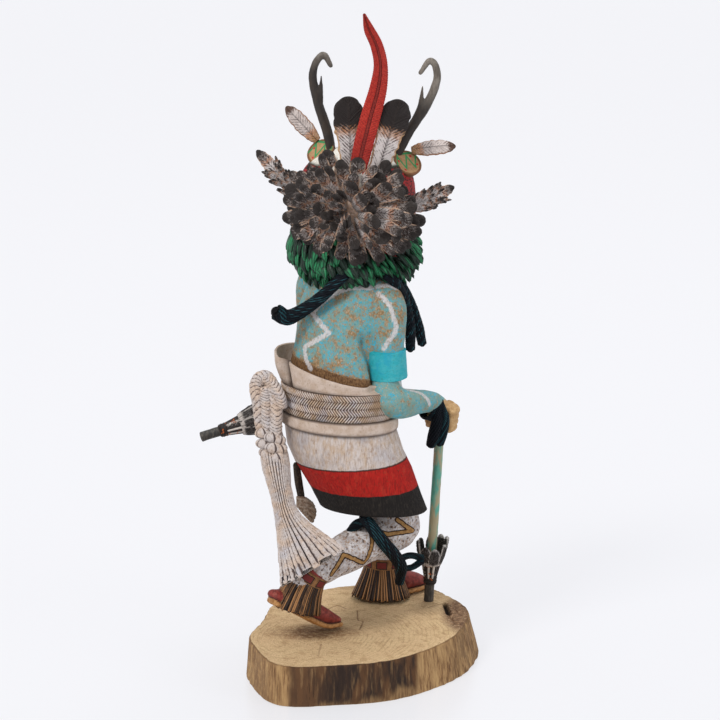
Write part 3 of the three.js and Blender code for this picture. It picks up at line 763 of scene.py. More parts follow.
# Paints
def slab_wood():
    """Sawn end grain on top and split fibres round the side, with a dark stain at the back."""
    c, p = colours(), Paint("cottonwood", sheen=0.2)
    x, y, z = p.axes()
    side, crack, gash = p.values("along", "mark", "tone")
    warp = p.noise(26, 2)
    apart = (x - PITH[0]) * (x - PITH[0]) + (y - PITH[1]) * (y - PITH[1])
    reach = apart.maths("SQRT", apart) + warp * 9
    fine = p.noise(1.0, 5, 0.75)
    patch = p.noise(14, 4, 0.6)
    ring_lines = (reach * 2.4).sine().rise(0.3, 1.0) * p.noise(7, 3).rise(0.3, 0.7)
    top = p.coats(
        c.slab,
        (patch.rise(0.34, 0.66), 206, 178, 136),
        (p.noise(5, 4, 0.65).rise(0.46, 0.7) * 0.6, 160, 128, 88),
        (ring_lines * 0.42, 142, 108, 70),
        (fine.rise(0.5, 0.72) * 0.55, 126, 96, 64),
        (fine.rise(0.46, 0.3) * 0.4, 224, 200, 160),
    )
    toe_stain = ((x + 25) * (x + 25) * 0.5 + (y + 15) * (y + 15) * 2.0).fall(40, 560)
    top = p.blend(toe_stain * p.noise(3, 4).rise(0.25, 0.62) * 0.8, top, tint(112, 76, 44))
    dark_patch = ((x - 61) * (x - 61) + (y - 16) * (y - 16) * 0.16).fall(60, 260)
    blotch = p.blend(p.noise(2.4, 4).rise(0.36, 0.62), tint(142, 112, 84), tint(88, 60, 42))
    top = p.blend(dark_patch * p.noise(6, 4).rise(0.22, 0.42), top, blotch)
    far_rim = (y - 24 + x * 0.2).rise(28, 44) * p.noise(3, 4).rise(0.3, 0.6)
    top = p.blend(far_rim * 0.6, top, tint(120, 92, 62))
    saw = p.noise(0.8, 4, 0.75, (1, 2.4, 1))
    top = p.blend(saw.rise(0.5, 0.68) * 0.35, top, tint(126, 96, 64))
    top = p.blend(saw.rise(0.47, 0.33) * 0.4, top, tint(226, 202, 164))
    # painted shade in the cracks
    line = crack.fall(0.0, 0.95)
    top = p.blend(line * line * 0.75, top, tint(98, 68, 42))
    fibre = p.noise(1.2, 4, 0.7, (1, 1, 13))
    broad = p.noise(6, 3, 0.5, (1, 1, 4))
    bark = p.coats(
        c.bark,
        (fibre.rise(0.35, 0.68), 112, 80, 52),
        (broad.rise(0.42, 0.75) * 0.7, 200, 164, 114),
        (fibre.rise(0.62, 0.78) * 0.8, 62, 42, 28),
    )
    stain = (x + warp * 9).rise(-38, -33) * (x + fibre * 4).fall(33, 36) * y.fall(-20, -5)
    lower = (z + broad * 22 - x * 0.14).rise(9, 15)
    stain = stain * (0.35 + 0.65 * lower) * p.noise(1.8, 3, 0.6, (1, 1, 9)).rise(0.25, 0.5, 0.55, 1)
    dark = p.coats(
        c.stain,
        (broad.rise(0.4, 0.62), 92, 64, 42),
        (x.rise(-14, -30) * 0.55, 104, 74, 50),
        (fibre.rise(0.58, 0.74) * 0.8, 30, 22, 18),
    )
    bark = p.blend(stain, bark, dark)
    left = x.fall(-58, -40) * p.noise(3, 3).rise(0.3, 0.6)
    bark = p.blend(left * 0.5, bark, tint(112, 84, 62))
    right = (x - y * 0.1).rise(50, 60) * p.noise(2.4, 3, 0.6, (1, 1, 5)).rise(0.34, 0.58)
    bark = p.blend(right * 0.6, bark, tint(88, 64, 44))
    edge = (z - fibre * 2.4).rise(21.6, 23.2) * side
    wood = p.coats(
        top,
        (side, bark),
        (edge * 0.75, 70, 48, 34),
        # painted shade inside the gash
        (gash, 30, 18, 11),
    )
    height = fibre * side + (fine * 0.4 + saw * 0.6) * (1 - side) - ring_lines * 0.2 - line * 0.4 * (1 - side)
    return p.done(wood, 0.85, height, 0.7)


def body_paint():
    """Turquoise rubbed thin over wood, flecked with sky blue, with chalk zigzags, ochre hands and painted
    shade in the hollows.
    """
    c, p = colours(), Paint("painted_skin", sheen=0.25)
    zigzag, bare, hand = p.values("mark", "tone", "across")
    patch = p.noise(8, 3)
    mid = p.noise(2.0, 5, 0.75)
    fine = p.noise(0.85, 4, 0.72, (1, 1, 1.8))
    brown = p.blend(fine.rise(0.35, 0.65), c.wood, tint(124, 104, 74))
    brown = p.blend(p.noise(2.0, 3).rise(0.55, 0.68) * 0.9, brown, tint(176, 112, 58))
    teal = p.blend(mid.rise(0.3, 0.7), c.turquoise, tint(102, 146, 142))
    skin = p.blend((mid * 0.75 + patch * 0.4 - bare * 0.3).rise(0.48, 0.62), brown, teal)
    cluster = (patch * 0.8 + p.noise(22, 1) * 0.35).rise(0.46, 0.68)
    flecks = (fine * 0.75 + p.noise(1.3, 2) * 0.4).rise(0.575, 0.655) * cluster
    skin = p.coats(
        skin,
        (flecks * (1 - bare), c.sky),
        ((fine * 0.6 + mid * 0.5).rise(0.6, 0.74) * 0.75, 74, 78, 68),
        ((fine * 0.6 + mid * 0.5).rise(0.5, 0.4) * 0.4, 196, 206, 200),
    )
    ground = p.blend(fine.rise(0.32, 0.68), tint(84, 58, 38), tint(140, 104, 68))
    skin = p.blend((bare * 1.2 + mid * 1.3 - 0.95).rise(0.3, 0.55), skin, ground)
    edge = zigzag + fine * 3.0 - 1.4
    chalk = edge.fall(sizes().line * 0.6, sizes().line * 1.15) * (0.4 + 0.6 * mid.rise(0.36, 0.56))
    skin = p.blend(chalk * 0.95, skin, p.blend(fine.rise(0.5, 0.7), c.chalk, tint(176, 170, 172)))
    palm = p.blend(mid.rise(0.3, 0.7), c.skin, tint(168, 128, 82))
    skin = p.blend(hand, skin, palm)
    # painted shade: dark brown in the hollows and inner corners
    skin = p.blend(p.crease_shade(0.4, 0.48) * 0.8, skin, tint(58, 46, 34))
    return p.done(skin, 0.7, fine * 0.8 + mid * 0.8, 0.5)


def band_paint():
    """Plain turquoise, brushed a little unevenly."""
    c, p = colours(), Paint("band_paint", sheen=0.3)
    brushed = p.noise(3, 4, 0.6, (2.2, 2.2, 1))
    colour = p.coats(
        c.band,
        (brushed.rise(0.35, 0.7), 66, 170, 178),
        (p.noise(1.1, 4, 0.7).rise(0.5, 0.7) * 0.7, 44, 128, 124),
        (p.noise(6, 2).rise(0.5, 0.65) * 0.6, 26, 150, 176),
        (p.value("along").rise(0.84, 0.98) * 0.6, 48, 96, 86),
    )
    return p.done(colour, 0.6, p.noise(1.0, 4), 0.3)


def kilt_paint():
    """Off-white with fine upright lines, then a red stripe and a black hem, and painted shade in the seams
    round the top of the kilt and the belt and in the slit of the lap.
    """
    c, p = colours(), Paint("kilt_paint", sheen=0.15)
    red_line, black_line, groove = p.values("mark", "across", "along")
    lip = p.value("tone")
    grain = p.noise(0.75, 5, 0.7, (1, 1, 6))
    streak = p.noise(2.6, 4, 0.65, (1, 1, 2.4))
    patch = p.noise(11, 3)
    ground = p.coats(
        c.cloth,
        (streak.rise(0.36, 0.64), 190, 168, 148),
        (patch.rise(0.45, 0.66) * 0.6, 176, 172, 176),
        (grain.rise(0.48, 0.7) * 0.65, 134, 112, 96),
        (grain.rise(0.46, 0.3) * 0.5, 224, 217, 212),
        (p.noise(3.4, 4, 0.7).rise(0.54, 0.68) * 0.4, 150, 120, 96),
    )
    plain = p.blend(p.noise(5, 4, 0.6).rise(0.3, 0.7), tint(204, 187, 174), tint(186, 164, 146))
    plain = p.blend(p.noise(1.0, 4, 0.7).rise(0.52, 0.72) * 0.6, plain, tint(138, 112, 90))
    ground = p.blend(lip, ground, plain)
    wobble = p.noise(2.4, 2) * 0.8
    red = p.coats(
        c.red,
        (grain.rise(0.42, 0.66) * 0.75, 112, 26, 22),
        (streak.rise(0.5, 0.72) * 0.5, 188, 62, 46),
        (p.noise(1.2, 3).rise(0.6, 0.72) * 0.5, 92, 62, 40),
    )
    cloth = p.blend((red_line + wobble).fall(0.3, 0.7), ground, red)
    pencil = abs(red_line + wobble - 0.5).fall(0.35, 0.65)
    cloth = p.blend(pencil * 0.85, cloth, tint(52, 26, 22))
    hem = p.blend(grain.rise(0.45, 0.75) * 0.8, c.black, tint(62, 56, 50))
    cloth = p.blend((black_line + wobble).fall(0.2, 0.8), cloth, hem)
    # painted shade, dark brown, in the seams round the top of the kilt and the belt and in the slit of the
    # lap
    cloth = p.blend(groove * 0.9, cloth, tint(40, 25, 19))
    return p.done(cloth, 0.85, grain + streak * 0.7 + groove * -0.6, 0.55)


def braid_paint():
    """Pale braid with painted shade in its grooves, brown and near black in the deepest."""
    p = Paint("braid_paint", sheen=0.15)
    groove = p.value("mark")
    patch = p.noise(6, 3)
    pale = p.coats(
        tint(206, 192, 182),
        (patch.rise(0.35, 0.65), 186, 158, 130),
        (p.noise(9, 2).rise(0.5, 0.66) * 0.6, 178, 178, 188),
        (p.noise(1.2, 4).rise(0.5, 0.7) * 0.5, 146, 124, 106),
    )
    # painted shade in the grooves between the strokes: brown, then near black where deepest
    braid = p.blend((groove + p.noise(1.0, 3) * 0.4 - 0.2).rise(0.2, 0.52), pale, tint(84, 58, 42))
    braid = p.blend((groove + p.noise(4.0, 3) * 0.5).rise(0.8, 1.05), braid, tint(30, 21, 20))
    return p.done(braid, 0.85, p.noise(0.6, 3), 0.15)


def legging_paint():
    """Chalk white speckled brown, with a tan zigzag drawn in dark lines and painted shade in the creases."""
    c, p = colours(), Paint("legging_paint", sheen=0.2)
    zigzag = p.value("mark") + p.noise(3, 2) * 0.8 - 0.4
    fine = p.noise(1.5, 5, 0.72)
    white = p.blend(p.noise(5, 3).rise(0.4, 0.65), c.chalk, tint(172, 164, 162))
    white = p.blend(fine.rise(0.47, 0.62) * 0.85, white, tint(146, 116, 88))
    spots = p.flecks(2.5).fall(0.14, 0.36)
    white = p.blend(spots * fine.rise(0.36, 0.5) * 0.9, white, tint(84, 58, 40))
    tan = p.blend(fine.rise(0.35, 0.7), tint(166, 128, 80), tint(130, 94, 54))
    leg = p.coats(
        white,
        (zigzag.fall(LEG_LINE - 0.15, LEG_LINE + 0.15), tan),
        (abs(zigzag - LEG_LINE).fall(0.2, 0.5), 44, 26, 16),
        # painted shade in the creases
        (p.crease_shade(0.4, 0.485) * 0.7, 84, 66, 52),
    )
    return p.done(leg, 0.8, fine * -1 - spots * 0.8, 0.6)


def moccasin_paint():
    """Brick red leather over ochre soles, with a dark line between and painted shade in the creases."""
    c, p = colours(), Paint("moccasin_paint", sheen=0.3)
    sole = p.value("tone")
    rub = p.noise(2.2, 5, 0.7)
    red = p.blend(rub.rise(0.38, 0.62) * 0.8, c.shoe, tint(92, 34, 30))
    red = p.blend(p.noise(4, 3).rise(0.55, 0.7) * 0.6, red, tint(158, 84, 70))
    ochre = p.blend(rub.rise(0.38, 0.66), c.sole, tint(146, 98, 52))
    shoe = p.coats(
        red,
        (sole.rise(0.45, 0.55), ochre),
        (p.value("mark"), 40, 18, 14),
        # painted shade in the creases
        (p.crease_shade(0.38, 0.48) * 0.8, 44, 22, 16),
    )
    return p.done(shoe, 0.6, rub, 0.4)


def ankle_band_paint():
    """Tan band with a row of red brown blocks drawn in dark lines."""
    p = Paint("ankle_band_paint", sheen=0.3)
    u, v = p.uv()
    across = abs((u * 7 + 0.3).part() - 0.5)
    up = abs(v - 0.5)
    block = across.fall(0.27, 0.3) * up.fall(0.19, 0.22)
    line = across.fall(0.33, 0.36) * up.fall(0.25, 0.28) - block
    tan = p.blend(p.noise(1.8, 4).rise(0.3, 0.7), tint(142, 100, 60), tint(104, 70, 42))
    band = p.coats(
        tan,
        (line, 30, 16, 10),
        (block, 104, 34, 30),
        (up.rise(0.40, 0.45), 44, 26, 16),
    )
    return p.done(band, 0.65, p.noise(1.4, 4) - block * 0.8 - line, 0.4)


def fringe_paint():
    """Brown black strands with painted tan highlights on their backs, stronger on some strands."""
    c, p = colours(), Paint("fringe_paint", sheen=0.3)
    tone, along = p.values("tone", "along")
    rub = p.noise(1.4, 4, 0.65, (1, 1, 4))
    # painted highlights in tan on the backs of the strands, stronger on some strands
    back = p.value("across").rise(0.55, 0.95)
    strand = p.blend((tone + rub * 0.9 - 0.45).rise(0.25, 0.85) * back, c.fringe, c.strand)
    strand = p.blend(along.rise(0.9, 1.0) * 0.4, strand, tint(150, 100, 60))
    return p.done(strand, 0.5, rub, 0.25)


def mask_paint():
    """White crown, red hair panels with black strokes, and a plain turquoise face with dark lines."""
    c, p = colours(), Paint("mask_paint", sheen=0.3)
    panel, face, line = p.values("tone", "along", "mark")
    fine = p.noise(1.6, 5, 0.65)
    white = p.blend(fine.rise(0.35, 0.7), tint(228, 226, 218), tint(198, 190, 176))
    strokes = p.noise(1.3, 3, 0.6, (2.4, 2.4, 0.8)).rise(0.5, 0.58)
    red = p.blend(strokes * 0.9, c.hair, tint(24, 16, 16))
    mask = p.blend(panel.rise(0.4, 0.6), white, red)
    turquoise = p.blend(fine.rise(0.35, 0.65), tint(84, 160, 160), tint(110, 178, 172))
    mask = p.blend(face.rise(0.4, 0.6), mask, turquoise)
    mask = p.blend(line, mask, tint(28, 46, 34))
    return p.done(mask, 0.7, fine + strokes * panel, 0.25)


def horn_paint():
    """Brown black, grey high on the horns."""
    c, p = colours(), Paint("horn_paint", sheen=0.35)
    x, y, z = p.axes()
    grain = p.noise(2.4, 4, 0.65, (1, 1, 3))
    horn = p.blend(grain.rise(0.4, 0.7), c.horn, tint(60, 50, 42))
    grey = (z + grain * 16 + x * 0.35).rise(338, 356)
    horn = p.blend(grey * 0.85, horn, p.blend(grain.rise(0.4, 0.65), c.horn_light, tint(92, 84, 76)))
    return p.done(horn, 0.55, grain, 0.35)


def spruce_paint():
    """Dark green leaves with painted highlights in bright green, and painted shade in black along their lines
    and where they meet.
    """
    c, p = colours(), Paint("spruce_paint", sheen=0.4)
    across, along, tone = p.values("across", "along", "tone")
    fine = p.noise(1.5, 4, 0.65)
    # painted highlights in bright green, away from the roots and stronger on some leaves
    lit = (tone * 0.75 + p.noise(7, 2) * 0.6 + fine * 0.5 - abs(across) * 0.3).rise(0.62, 1.05)
    green = p.blend(lit * along.rise(0.1, 0.45), c.spruce, c.spruce_highlight)
    green = p.blend(p.noise(0.9, 3).rise(0.55, 0.7) * 0.5, green, tint(10, 26, 18))
    # painted shade: black along two lines down each leaf and at its edges, where the leaves meet
    rib_shade = abs(abs(across) - 0.42).fall(0.05, 0.16) + abs(across).rise(0.86, 0.97)
    green = p.blend(rib_shade * 0.7, green, tint(6, 16, 11))
    return p.done(green, 0.4, fine - rib_shade, 0.3)


def feather_paint(name, base, middle, tip, low, high, count=24, streak=0.5, edge=None, warm=None, slant=0.16,
                  shade=None, light=None, patchy=1.1, grooves=0.0):
    """Barbs from the shaft to the edge, with a base, a middle and a tip colour along the feather."""
    p = Paint(name, sheen=0.35)
    across, along, tone = p.values("across", "along", "tone")
    fine = p.noise(1.3, 4, 0.65)
    wide = abs(across)
    barb = ((along - wide * slant) * (count * TAU) + fine * 5 + tone * 30).sine()
    hair = ((along - wide * slant) * (count * 2.7 * TAU) + fine * 7).sine()
    reach = along + (fine - 0.5) * 0.14 + barb * 0.018 + (tone - 0.5) * 0.2
    colour = p.blend(reach.rise(low - 0.06, low + 0.06), base, middle)
    if warm:
        colour = p.blend(abs(reach - low).fall(0.02, 0.09) * 0.75, colour, warm)
    pick = p.noise(patchy, 3, 0.6)
    dark = barb.rise(0.0, 0.8) * pick.rise(0.4, 0.55) * streak
    pale = hair.rise(0.2, 0.9) * pick.rise(0.58, 0.42) * streak * 0.8
    colour = p.blend(dark, colour, shade or tint(58, 44, 38))
    colour = p.blend(pale, colour, light or tint(232, 226, 222))
    if edge:
        colour = p.blend((wide + fine * 0.25).rise(0.93, 1.06) * along.rise(0.97, 0.85), colour, edge)
    colour = p.blend(reach.rise(high - 0.05, high + 0.05), colour, tip)
    shaft = wide.fall(0.05, 0.12)
    colour = p.blend(shaft * 0.5, colour, tint(40, 30, 26))
    # painted shade, dark red, in the double groove beside the shaft
    colour = p.blend(abs(wide - 0.15).fall(0.02, 0.08) * grooves, colour, tint(70, 12, 12))
    return p.done(colour, 0.62, barb * 0.6 + hair * 0.35 + fine * 0.4, 0.28)


def yarn_paint():
    """Navy black strands, finely ribbed, with painted green blue sheen on some and painted shade on the core.
    """
    c, p = colours(), Paint("yarn_paint", sheen=0.12)
    tone = p.value("tone")
    u, v = p.uv()
    ply = (u * (TAU * 3) + v * 190).sine()
    rub = p.noise(2.2, 3)
    # painted sheen in green blue on the ridges of some strands
    yarn = p.blend((tone * 0.7 + rub * 0.5).rise(0.62, 0.95) * ply.rise(-0.2, 0.9), c.yarn, c.yarn_sheen)
    # painted shade: near black on the core that shows between the strands
    yarn = p.blend(p.value("mark"), yarn, tint(8, 9, 12))
    return p.done(yarn, 0.62, ply, 0.3)


def thread_paint():
    """Quills of white, black and rust in pale thread, with painted shade between the turns of thread and on
    the core among the quills.
    """
    p = Paint("thread", sheen=0.3)
    tone, groove = p.values("tone", "mark")
    fine = p.noise(1.2, 4)
    quill = p.coats(
        tint(38, 32, 30),
        ((tone + fine * 0.5 - 0.25).rise(0.4, 0.6), 206, 198, 190),
        (p.noise(2.6, 2).rise(0.6, 0.68), 184, 96, 44),
        # painted shade between the turns of thread and on the core among the quills
        (groove, 24, 19, 17),
    )
    return p.done(quill, 0.6, fine, 0.2)


def cane_paint():
    """Green paint worn to wood in long patches, black at the foot."""
    c, p = colours(), Paint("cane_paint", sheen=0.4)
    dark = p.value("mark")
    worn = p.noise(4.5, 3, 0.6, (1, 1, 4))
    fine = p.noise(1.2, 4, 0.6, (1, 1, 5))
    green = p.blend(fine.rise(0.35, 0.7), c.cane, tint(76, 150, 132))
    cane = p.blend(worn.rise(0.42, 0.6) * 0.85, green, tint(172, 150, 116))
    foot = p.blend(fine.rise(0.4, 0.7), tint(46, 44, 42), tint(88, 82, 74))
    cane = p.blend(dark.rise(0.4, 0.6), cane, foot)
    return p.done(cane, 0.55, fine, 0.2)


def cotton_paint():
    """Off-white cords, with painted shade in grey blue and brown between them."""
    c, p = colours(), Paint("cotton_paint", sheen=0.25)
    groove, tone = p.values("mark", "tone")
    fine = p.noise(1.0, 4, 0.7)
    patch = p.noise(8, 3)
    pale = p.coats(
        c.cotton,
        (patch.rise(0.4, 0.65), 206, 184, 166),
        (p.noise(9, 2).rise(0.52, 0.7) * 0.5, 186, 188, 198),
        (fine.rise(0.48, 0.7) * 0.6, 158, 138, 122),
        (p.noise(3.2, 4, 0.7).rise(0.52, 0.66) * 0.55, 150, 126, 108),
        (tone * 0.25, 170, 156, 146),
        (p.noise(0.8, 3).rise(0.56, 0.7) * 0.7, 120, 98, 84),
    )
    # painted shade in the grooves between the cords, near black in the deepest
    cord = p.blend((groove + fine * 0.3 - 0.15).rise(0.2, 0.5), pale, c.cotton_shade)
    cord = p.blend((groove + tone * 0.6).rise(0.9, 1.1), cord, tint(30, 28, 36))
    return p.done(cord, 0.85, fine, 0.4)


def tassel_paint():
    """Grey brown fingers under a dark strip, with painted shade in the creases between them."""
    p = Paint("tassel_paint", sheen=0.2)
    fine = p.noise(1.3, 4, 0.65)
    colour = p.blend(fine.rise(0.35, 0.65), tint(184, 166, 148), tint(136, 112, 92))
    strip = p.blend(fine.rise(0.4, 0.7), tint(44, 38, 36), tint(84, 70, 58))
    colour = p.blend(p.value("mark"), colour, strip)
    # painted shade in the creases between the fingers
    colour = p.blend(p.crease_shade(0.38, 0.48) * 0.9, colour, tint(36, 28, 26))
    return p.done(colour, 0.75, fine, 0.25)


def blossom_paint():
    """Tan wood disc with a green zigzag line, a brown rim and red dots."""
    p = Paint("blossom_paint", sheen=0.3)
    green, red, rim = p.values("mark", "across", "tone")
    fine = p.noise(1.4, 4)
    wood = p.coats(
        tint(178, 142, 104),
        (fine.rise(0.35, 0.7), 158, 120, 80),
        (rim * 0.8, 104, 62, 36),
        ((green + fine * 0.6 - 0.3).fall(0.5, 0.75), 58, 138, 84),
        ((red + fine * 0.6 - 0.3).fall(0.6, 0.9), 186, 50, 46),
    )
    return p.done(wood, 0.7, fine, 0.15)


# More shapes
SOLES = {
    "right": [(1, 39.5, 26.4, 6), (15, 48, 26.4, 7), (29, 57, 26.4, 7.4), (42, 65, 26.2, 3.2)],
    "left": [(-53, -33, 50.5, 6), (-38, -23.5, 40.5, 7.2), (-23, -14, 29.5, 7.4), (-11, -6, 26.4, 3.4)],
}
CUFFS = {
    "right": [(12, 47, 30, 8.4), (13, 47, 44, 9.4), (13.4, 47, 50, 9.8)],
    "left": [(-37, -24, 46, 8.6), (-31, -23.5, 58, 9.4), (-26, -22.5, 64, 10.2)],
}
ANKLE_BANDS = [
    ((13.1, 47, 44), (13.4, 47, 49.8), 10.7),
    ((-30.4, -23.6, 59.6), (-27.4, -23.2, 64.4), 10.9),
]
FRINGES = {
    "right": [(13, 47, 45, 9.8, 9.8), (12.8, 46.4, 36, 13, 11), (12.4, 45.5, 25, 17.5, 14)],
    "left": [(-28.6, -23.6, 63, 9.8, 9.8), (-33, -24, 52.5, 12, 10.6), (-36.4, -24.5, 42, 15, 12)],
}
FRINGE_ACROSS = {"right": RIGHTWARDS, "left": unit((0.76, 0.45, -0.47))}
MASK = [
    (-4, 28, 234, 27, 23), (-4, 28, 246, 34, 27), (-3.5, 28, 262, 35, 28), (-2, 28, 279, 32, 27.5),
    (-1.5, 28, 289, 27, 24), (-1.5, 28, 296, 16, 14), (-1.5, 28, 298.6, 5, 4), (-1.5, 28, 298.8, 0.4, 0.3),
]
COLLAR = [
    (-5, 27, 259, 31, 25), (-5, 27, 250, 36, 30), (-5, 26.5, 241, 35.5, 30), (-4.5, 26, 232, 29, 25),
    (-5, 26, 227, 22, 18),
]
HAIR_FRONT = 48
HAIR_BACK = 152
LEAF = (0.6, 1.0, 0.95, 0.62, 0.0)
LEAF_ROWS = (
    (0.02, 40, 9.5), (0.16, 46, 10), (0.32, 50, 11), (0.48, 50, 11.5), (0.62, 48, 12), (0.76, 44, 12),
    (0.88, 38, 11),
)
BUNCH_ROOT = np.array([-5.6, 9.0, 266.0])
BUNCH_RINGS = (
    (26, 0, 36.5, 8.8), (24, 11, 36.5, 8.6), (21, 22, 35.5, 8.4), (18, 34, 34.5, 8.2), (14, 46, 33, 8),
    (10, 58, 31.5, 7.8), (8, 70, 29.5, 7.4), (4, 82, 27, 7),
)


def worn(mesh, big=0.3, small=0.1, seed=0, size=5.0):
    """The skin of a carved piece, uneven from the knife."""
    spots = spots_of(mesh)
    pushed(mesh, big * lumps(spots, size, seed) + small * lumps(spots, size / 3.6, seed + 1))


def slab_mesh():
    """The slab: a sawn top with cracks and a gash, a chipped rim and a ridged side."""
    columns = 320
    outline = smooth(SLAB_OUTLINE, columns, closed=True)
    middle = outline.mean(axis=0)
    bottom = [(part, 0.0) for part in (0, 0.25, 0.5, 0.75, 0.9)]
    side = [(1.0, z) for z in np.linspace(0.6, SLAB_TOP - 1.2, 24)]
    rim = [(0.998, SLAB_TOP - 0.6), (0.994, SLAB_TOP - 0.2), (0.988, SLAB_TOP)]
    top = [(part, SLAB_TOP) for part in np.linspace(0.978, 0, 84)]
    rows = [*bottom, (0.985, 0.0), *side, *rim, *top]
    table = np.array(rows)
    level = SLAB_TOP - 0.05
    bent = [smooth(crack, 4 * len(crack)) for crack in SLAB_CRACKS]

    def read(u, v):
        column = np.rint(u * columns).astype(int) % columns
        reach, height = table[np.rint(v * (len(rows) - 1)).astype(int)].T
        return outline[column], reach, height

    def place(u, v):
        rim_spot, reach, height = read(u, v)
        spots = middle + (rim_spot - middle) * reach[:, None]
        around = np.column_stack([rim_spot, height / 9])
        ridges = lumps(around, 1.7, 1) * 0.6 + lumps(around, 4.4, 2) * 0.9 + lumps(around, 0.8, 3) * 0.25
        on_side = rise(reach, 0.97, 1.0)
        out = unit(rim_spot - middle)
        spots = spots + out * (sizes().bark * ridges * on_side)[:, None]
        chips = rise(lumps(around * [1, 1, 0.3], 2.6, 5), 0.25, 0.8) * rise(height, level - 3.2, level)
        spots = spots - out * (chips * 0.9 * on_side)[:, None]
        lean = 6 * np.clip(spots[:, 0] / 60, -0.3, 1) * (1 - height / SLAB_TOP)
        spots[:, 0] += lean
        on_top = (height > level) * rise(reach, 1.0, 0.96)
        sawn = 0.10 * lumps(np.column_stack([spots, height]), 2.4, 7)
        cut = np.min([from_line(spots, crack) for crack in bent], axis=0)
        gash = from_line(spots, SLAB_GASH)
        depth = 0.3 * rise(cut, 0.8, 0.0) + 3.0 * rise(gash, 1.9, 0.4)
        return np.column_stack([spots, height + on_top * (sawn - depth)])

    def flat(u, v):
        rim_spot, reach, height = read(u, v)
        return middle + (rim_spot - middle) * reach[:, None], reach, height

    def cracks(u, v):
        spots, _, height = flat(u, v)
        nearest = np.min([from_line(spots, crack) for crack in bent], axis=0)
        return np.where(height > level, nearest, 9.0)

    def gashed(u, v):
        spots, _, height = flat(u, v)
        return np.where(height > level, rise(from_line(spots, SLAB_GASH), 1.9, 0.9), 0.0)

    carving = Carving()
    carving.close(carving.grid(
        columns, len(rows) - 1, place,
        along=lambda u, v: (flat(u, v)[1] > 0.99) * 1.0, mark=cracks, tone=gashed,
    ))
    return carving.mesh("slab")


def trunk_mesh():
    """The trunk, the neck and the upper arms as one skin."""
    carving = Carving()
    carving.tube(rings(CHEST, 60, BODY_LEFT), 110, square=0.1)
    for arm in UPPER_ARMS.values():
        carving.limb(arm, 30, RIGHTWARDS, 40)
    skin = fused(carving, 0.99, 5)
    crease = painted_line(skin, ARMPIT)
    fade = rise(spots_of(skin)[:, 2], 201, 193)
    pushed(skin, -3.2 * peak(crease, 2.4) * fade - 1.2 * peak(crease, 7) * fade)
    spots = spots_of(skin)
    strokes = lumps(spots * [1, 1, 0.5], 2.0, 5) * 0.16 + lumps(spots * [1, 1, 0.6], 1.1, 6) * 0.09
    pushed(skin, 0.3 * lumps(spots, 6, 3) + strokes)
    lines = np.minimum(painted_line(skin, BACK_ZIGZAG), painted_line(skin, ARM_ZIGZAG))
    bare = rise(spots[:, 2] + 0.2 * spots[:, 0], 176.4, 171.4) * (spots[:, 2] < 190)
    valued(skin, mark=lines, tone=bare, across=np.zeros(len(spots)))
    return skin


def arm_bands_mesh():
    """A flat band round each upper arm."""
    carving = Carving()
    for seed, arm in enumerate(ARM_BANDS.values()):

        def uneven(u, v):
            return 0.16 * lumps(np.column_stack([u * 23, v * 5, 0 * u]), 1.0, seed) * (abs(v - 0.5) < 0.42)

        carving.limb(arm, 22, RIGHTWARDS, 72, 0.12, 4, push=uneven, along=lambda u, v: abs(2 * v - 1))
    return carving.mesh("bands")


def kilt_rows(folds, step=1.25):
    """Rings of the kilt between its folds, straight from one to the next."""
    rows = [folds[0]]
    for a, b in zip(folds, folds[1:]):
        pieces = max(1, round(math.hypot(b[1] - a[1], b[2] - a[2]) / step))
        rows += [tuple(p + (q - p) * k / pieces for p, q in zip(a, b)) for k in range(1, pieces + 1)]
    return np.array(rows)


def kilt_ring(rows, turn, out=0.0):
    """Places on the kilt's rings, turn round from the doll's left."""
    x, z, grown, slope_x, slope_y = rows.T
    c, s = np.cos(turn), np.sin(turn)
    wide = BODY_LEFT * ((KILT_HALF[0] + grown + out) * c)[:, None]
    deep = BODY_FRONT * ((KILT_HALF[1] + grown + out) * s)[:, None]
    spots = np.column_stack([x, np.full(len(x), 10.0), z]) + wide + deep
    spots[:, 2] += (wide + deep)[:, 0] * slope_x + (wide + deep)[:, 1] * slope_y
    return spots


def lapped(turn, z):
    """How far the end of the kilt laps over itself at its rim, from 0 to 1."""
    past = np.where(turn < math.pi, turn + TAU, turn)
    return rise(past, 5.36, 5.46) * rise(past, 7.6, 6.6) * rise(z, 163, 172)


def slit(turn, z):
    """The gap at the foot of the lap, pushed in and painted dark as shade."""
    return peak(turn - 5.22 - (z - 165) * 0.012, 0.07) * rise(z, 164, 167)


